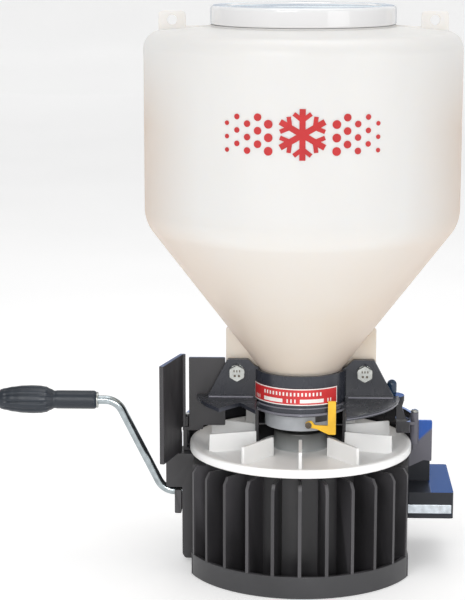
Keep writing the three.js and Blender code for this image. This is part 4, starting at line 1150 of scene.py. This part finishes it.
# the raised band round the foot of the base, and the corners of the housing it follows
BAND_HEIGHTS = (0.1, 19.6)  # millimetres
BAND_EDGE = 0.4  # millimetres
BAND_T = 1.2 * MM
SIDE_X, SIDE_FRONT_Y, SIDE_BACK_Y = 96.2 * MM, -43 * MM, 85 * MM
CORNER_X, BACK_Y = 70 * MM, 112 * MM
INTO = 0.995  # the band's inner line, drawn into the wall by this share


def rear_band():
    """The base's band carried on round the sides and back of the housing."""
    right = [(SIDE_X, SIDE_FRONT_Y), (SIDE_X, SIDE_BACK_Y), (CORNER_X, BACK_Y)]
    outer = [
        (SIDE_X + BAND_T, SIDE_FRONT_Y),
        (SIDE_X + BAND_T, SIDE_BACK_Y + 0.5 * MM),
        (CORNER_X + 0.5 * MM, BACK_Y + BAND_T),
    ]
    outer += [(-x, y) for x, y in reversed(outer)]
    line = right + [(-x, y) for x, y in reversed(right)]
    inner = [(x * INTO, y - 0.4 * MM) for x, y in reversed(line)]
    strip = prism("rear_band", outer + inner, *(height * MM for height in BAND_HEIGHTS))
    attach_to(bevel(strip, BAND_EDGE * MM), "base_housing", BAND)


BELLY_R = 420 * MM
BELLY_T = 4 * MM
RIB_HALF = 3 * MM
RIB_REACH = 9  # degrees either side of the middle


def belly_ribs():
    """Three low ribs across the face of the belly plate."""
    plate_low, plate_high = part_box("belly_plate")
    half = plate_high.x * BELLY_R / (BELLY_R + BELLY_T)
    centre = plate_high.y + math.sqrt(BELLY_R ** 2 - half ** 2)
    for k, level in enumerate((0.2, 0.5, 0.8)):
        z = plate_low.z + (plate_high.z - plate_low.z) * level
        rib = partial_ring("belly_rib_%d" % (k + 1), BELLY_R - 2 * MM, BELLY_R + 0.8 * MM,
                           z - RIB_HALF, z + RIB_HALF, -RIB_REACH, RIB_REACH, 24, centre)
        attach_to(bevel(rib, 0.8 * MM, 3), "belly_plate", GRIP)


LEDGE_Y = -10.3 * MM
LEDGE_Z = 156.9 * MM
LEDGE_FROM, LEDGE_TO = 43 * MM, 83 * MM
COLLAR_RADII, COLLAR_REACH = (41.3, 42.6), (-68, 68)
# name, radii and heights in millimetres, degrees from the front, steps, edge radius, its steps
RINGS = (
    ("canopy_edge_bead", (88.6, 89.35), (154.2, 155.1), (27, 89), 40, 0.2, 2),
    ("collar_rim", COLLAR_RADII, (147, 149.2), COLLAR_REACH, 60, 0.5, 3),
    ("collar_bead", COLLAR_RADII, (153.2, 154.5), COLLAR_REACH, 60, 0.5, 3),
)


def ring_piece(name, radii, heights, reach, steps, edge, segments):
    sizes = [size * MM for size in radii + heights]
    return bevel(partial_ring(name, *sizes, *reach, steps), edge * MM, segments)


def ring_pieces():
    """The base's band; the canopy's edge bead and the collar's rims, painted lighter as highlight
    lines; and a thin black plate on the grey ring, as painted shade of a recess.
    """
    reach = (-64.6, 64.6)
    band = ring_piece("base_band", (105.2, 106.3), BAND_HEIGHTS, reach, 90, BAND_EDGE, 2)
    attach_to(band, "base_housing", BAND)
    for ring in RINGS:
        attach_to(ring_piece(*ring), "support_frame", HIGHLIGHT_GREY)
    # painted shade: a thin black plate on the ring's face stands for the dark of a recess behind
    # the pointer
    recess = ring_piece("ring_window", (32, 32.9), (138.6, 144.6), (24, 47), 14, 0.2, 2)
    attach(recess, BODY_OF["direction_ring"], BLACK)


def ledge_beads():
    """Fine beads along the foot of the two gussets, left and right, painted lighter as highlight
    lines.
    """
    lie = Matrix.Translation((0, LEDGE_Y, LEDGE_Z)) @ Matrix.Rotation(math.pi / 2, 4, "Y")
    for side, word in ((-1, "left"), (1, "right")):
        start, end = sorted((side * LEDGE_FROM, side * LEDGE_TO))
        profile = rounded([
            (0, start), (0.7 * MM, start), (0.7 * MM, end), (0, end),
        ], 0.5 * MM, 4, closed=False)
        bead = revolve("ledge_bead_" + word, profile, 20, closed=False)
        attach_to(placed(bead, lie), "support_frame", HIGHLIGHT_GREY)


# --- stage, light and camera
CAMERA_DISTANCE = 1.6896
CAMERA_HEIGHT = 0.5729
CAMERA_PITCH = math.radians(11.01)
CAMERA_TURN = math.radians(2.1)
FOCAL_SHARE = 3.187667  # focal length over the picture's height
SENSOR = 36


PALE, PALER = (0.92, 0.92, 0.92, 1), (0.95, 0.95, 0.95, 1)
FLOOR_HALF = 9.0
FLOOR_DROP = 0.0004  # keeps the floor just clear of the base's underside
FLOOR_GLOW = 0.3
# the floor's (y, z) line, from in front of the object to the top of the backdrop
FLOOR_LINE = ((-9.0, 0), (0, 0), (5.0, 0), (5.8, 0.12), (6.4, 0.6), (6.6, 1.4), (6.6, 4.0))


def stage():
    """A pale floor that curves up into a backdrop."""
    look = Look("pale_floor", PALER, 0.6)
    look.put("Specular IOR Level", 0)
    look.put("Emission Color", (1, 1, 1, 1))
    look.put("Emission Strength", FLOOR_GLOW)
    look.paint(look.mix(look.span(look.noise(0.35, 2), 0, 1), PALER, PALE))
    bm = bmesh.new()
    rows = []
    for y, z in rounded(FLOOR_LINE, 0.5, 8, closed=False):
        rows.append([bm.verts.new((x, y, z - FLOOR_DROP)) for x in (-FLOOR_HALF, FLOOR_HALF)])
    for one, two in zip(rows, rows[1:]):
        bm.faces.new((one[0], one[1], two[1], two[0]))
    floor = from_bmesh("floor", bm)
    floor.data.materials.append(look.material)
    floor.data.polygons.foreach_set("use_smooth", [True] * len(floor.data.polygons))
    floor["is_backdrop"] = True


def area_light(name, place, target, size, power, color=(1, 1, 1)):
    data = bpy.data.lights.new(name, "AREA")
    data.shape = "RECTANGLE"
    data.size, data.size_y = size
    data.energy = power
    data.color = color
    light = bpy.data.objects.new(name, data)
    light.location = place
    direction = Vector(target) - Vector(place)
    light.rotation_euler = direction.to_track_quat("-Z", "Y").to_euler()
    bpy.context.scene.collection.objects.link(light)
    return light


BLUE_LIGHT = (0.03, 0.27, 1.0)
# the glossy pieces that mirror the blue card behind the object
BLUE_EDGED = (
    "rear_guard_moulded", "side_tray_moulded", "flow_gate_moulded", "side_deflector_moulded",
    "side_panel_moulded", "knob_post", "post_screw_driven",
)
# how the names of the pale pieces begin, which the front light would wash out
NOT_FRONT_LIT = ("hopper_shell", "neck_bead", "falling_grains", "snowflake", "lid_shell")


def linked(light, name, receivers):
    """Lets a light fall on the named pieces only."""
    group = bpy.data.collections.new(name)
    for receiver in receivers:
        group.objects.link(bpy.data.objects[receiver])
    light.light_linking.receiver_collection = group


def lights():
    """Soft lights in front and above, and a blue card behind that only glossy edges mirror."""
    world = bpy.data.worlds.new("studio")
    bpy.context.scene.world = world
    world.use_nodes = True
    background = world.node_tree.nodes["Background"]
    background.inputs["Color"].default_value = (1, 1, 1, 1)
    background.inputs["Strength"].default_value = 0.5
    area_light("key", (-0.8, -2.2, 1.25), (0, 0, 0.2), (1.0, 1.0), 16.5)
    front = area_light("front", (0.2, -2.1, 0.62), (0, 0, 0.1), (0.6, 0.6), 11)
    names = [p.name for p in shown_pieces() if not p.name.startswith(NOT_FRONT_LIT)]
    linked(front, "lit_from_front", names)
    area_light("fill", (1.6, -1.7, 0.8), (0, 0, 0.2), (1.2, 1.2), 7)
    area_light("top", (0.1, 0.2, 2.0), (0, 0, 0.3), (1.4, 1.4), 12)
    card = area_light("blue_back", (0.3, 2.0, 0.78), (0, 0, 0.1), (2.4, 0.7), 7, BLUE_LIGHT)
    for rays in ("diffuse", "camera", "transmission"):
        setattr(card, "visible_" + rays, False)
    linked(card, "takes_blue", BLUE_EDGED)
    bpy.context.scene.view_settings.view_transform = "Standard"


def camera():
    data = bpy.data.cameras.new("camera")
    data.sensor_fit = "VERTICAL"
    data.sensor_height = SENSOR
    data.lens = SENSOR * FOCAL_SHARE
    data.clip_end = 50
    obj = bpy.data.objects.new("camera", data)
    obj.location = (0, -CAMERA_DISTANCE, CAMERA_HEIGHT)
    obj.rotation_euler = (math.pi / 2 - CAMERA_PITCH, 0, CAMERA_TURN)
    bpy.context.scene.collection.objects.link(obj)
    bpy.context.scene.camera = obj


hopper()
neck_seat()
lid()
emblem()
label()
spinner()
crank_rod()
grip()
lever_knob()
refine_all(MOULDED)
ring_pieces()
ledge_beads()
rear_band()
belly_ribs()
refine_all(HIDDEN)
hex_head("hopper_bolt_left")
hex_head("hopper_bolt_right")
screw("post_screw", (0, 0, 1), 3.9 * MM)
screw("guard_screw_left", (0, 0, 1), 4.4 * MM)
screw("guard_screw_right", (0, 0, 1), 4.4 * MM)
screw("pointer_screw", (0, -1, 0), 2.9 * MM, DARK_METAL)
for corner in range(1, 5):
    screw("cover_screw_%d" % corner, (0, 0, -1), 3.1 * MM)
stage()
lights()
camera()
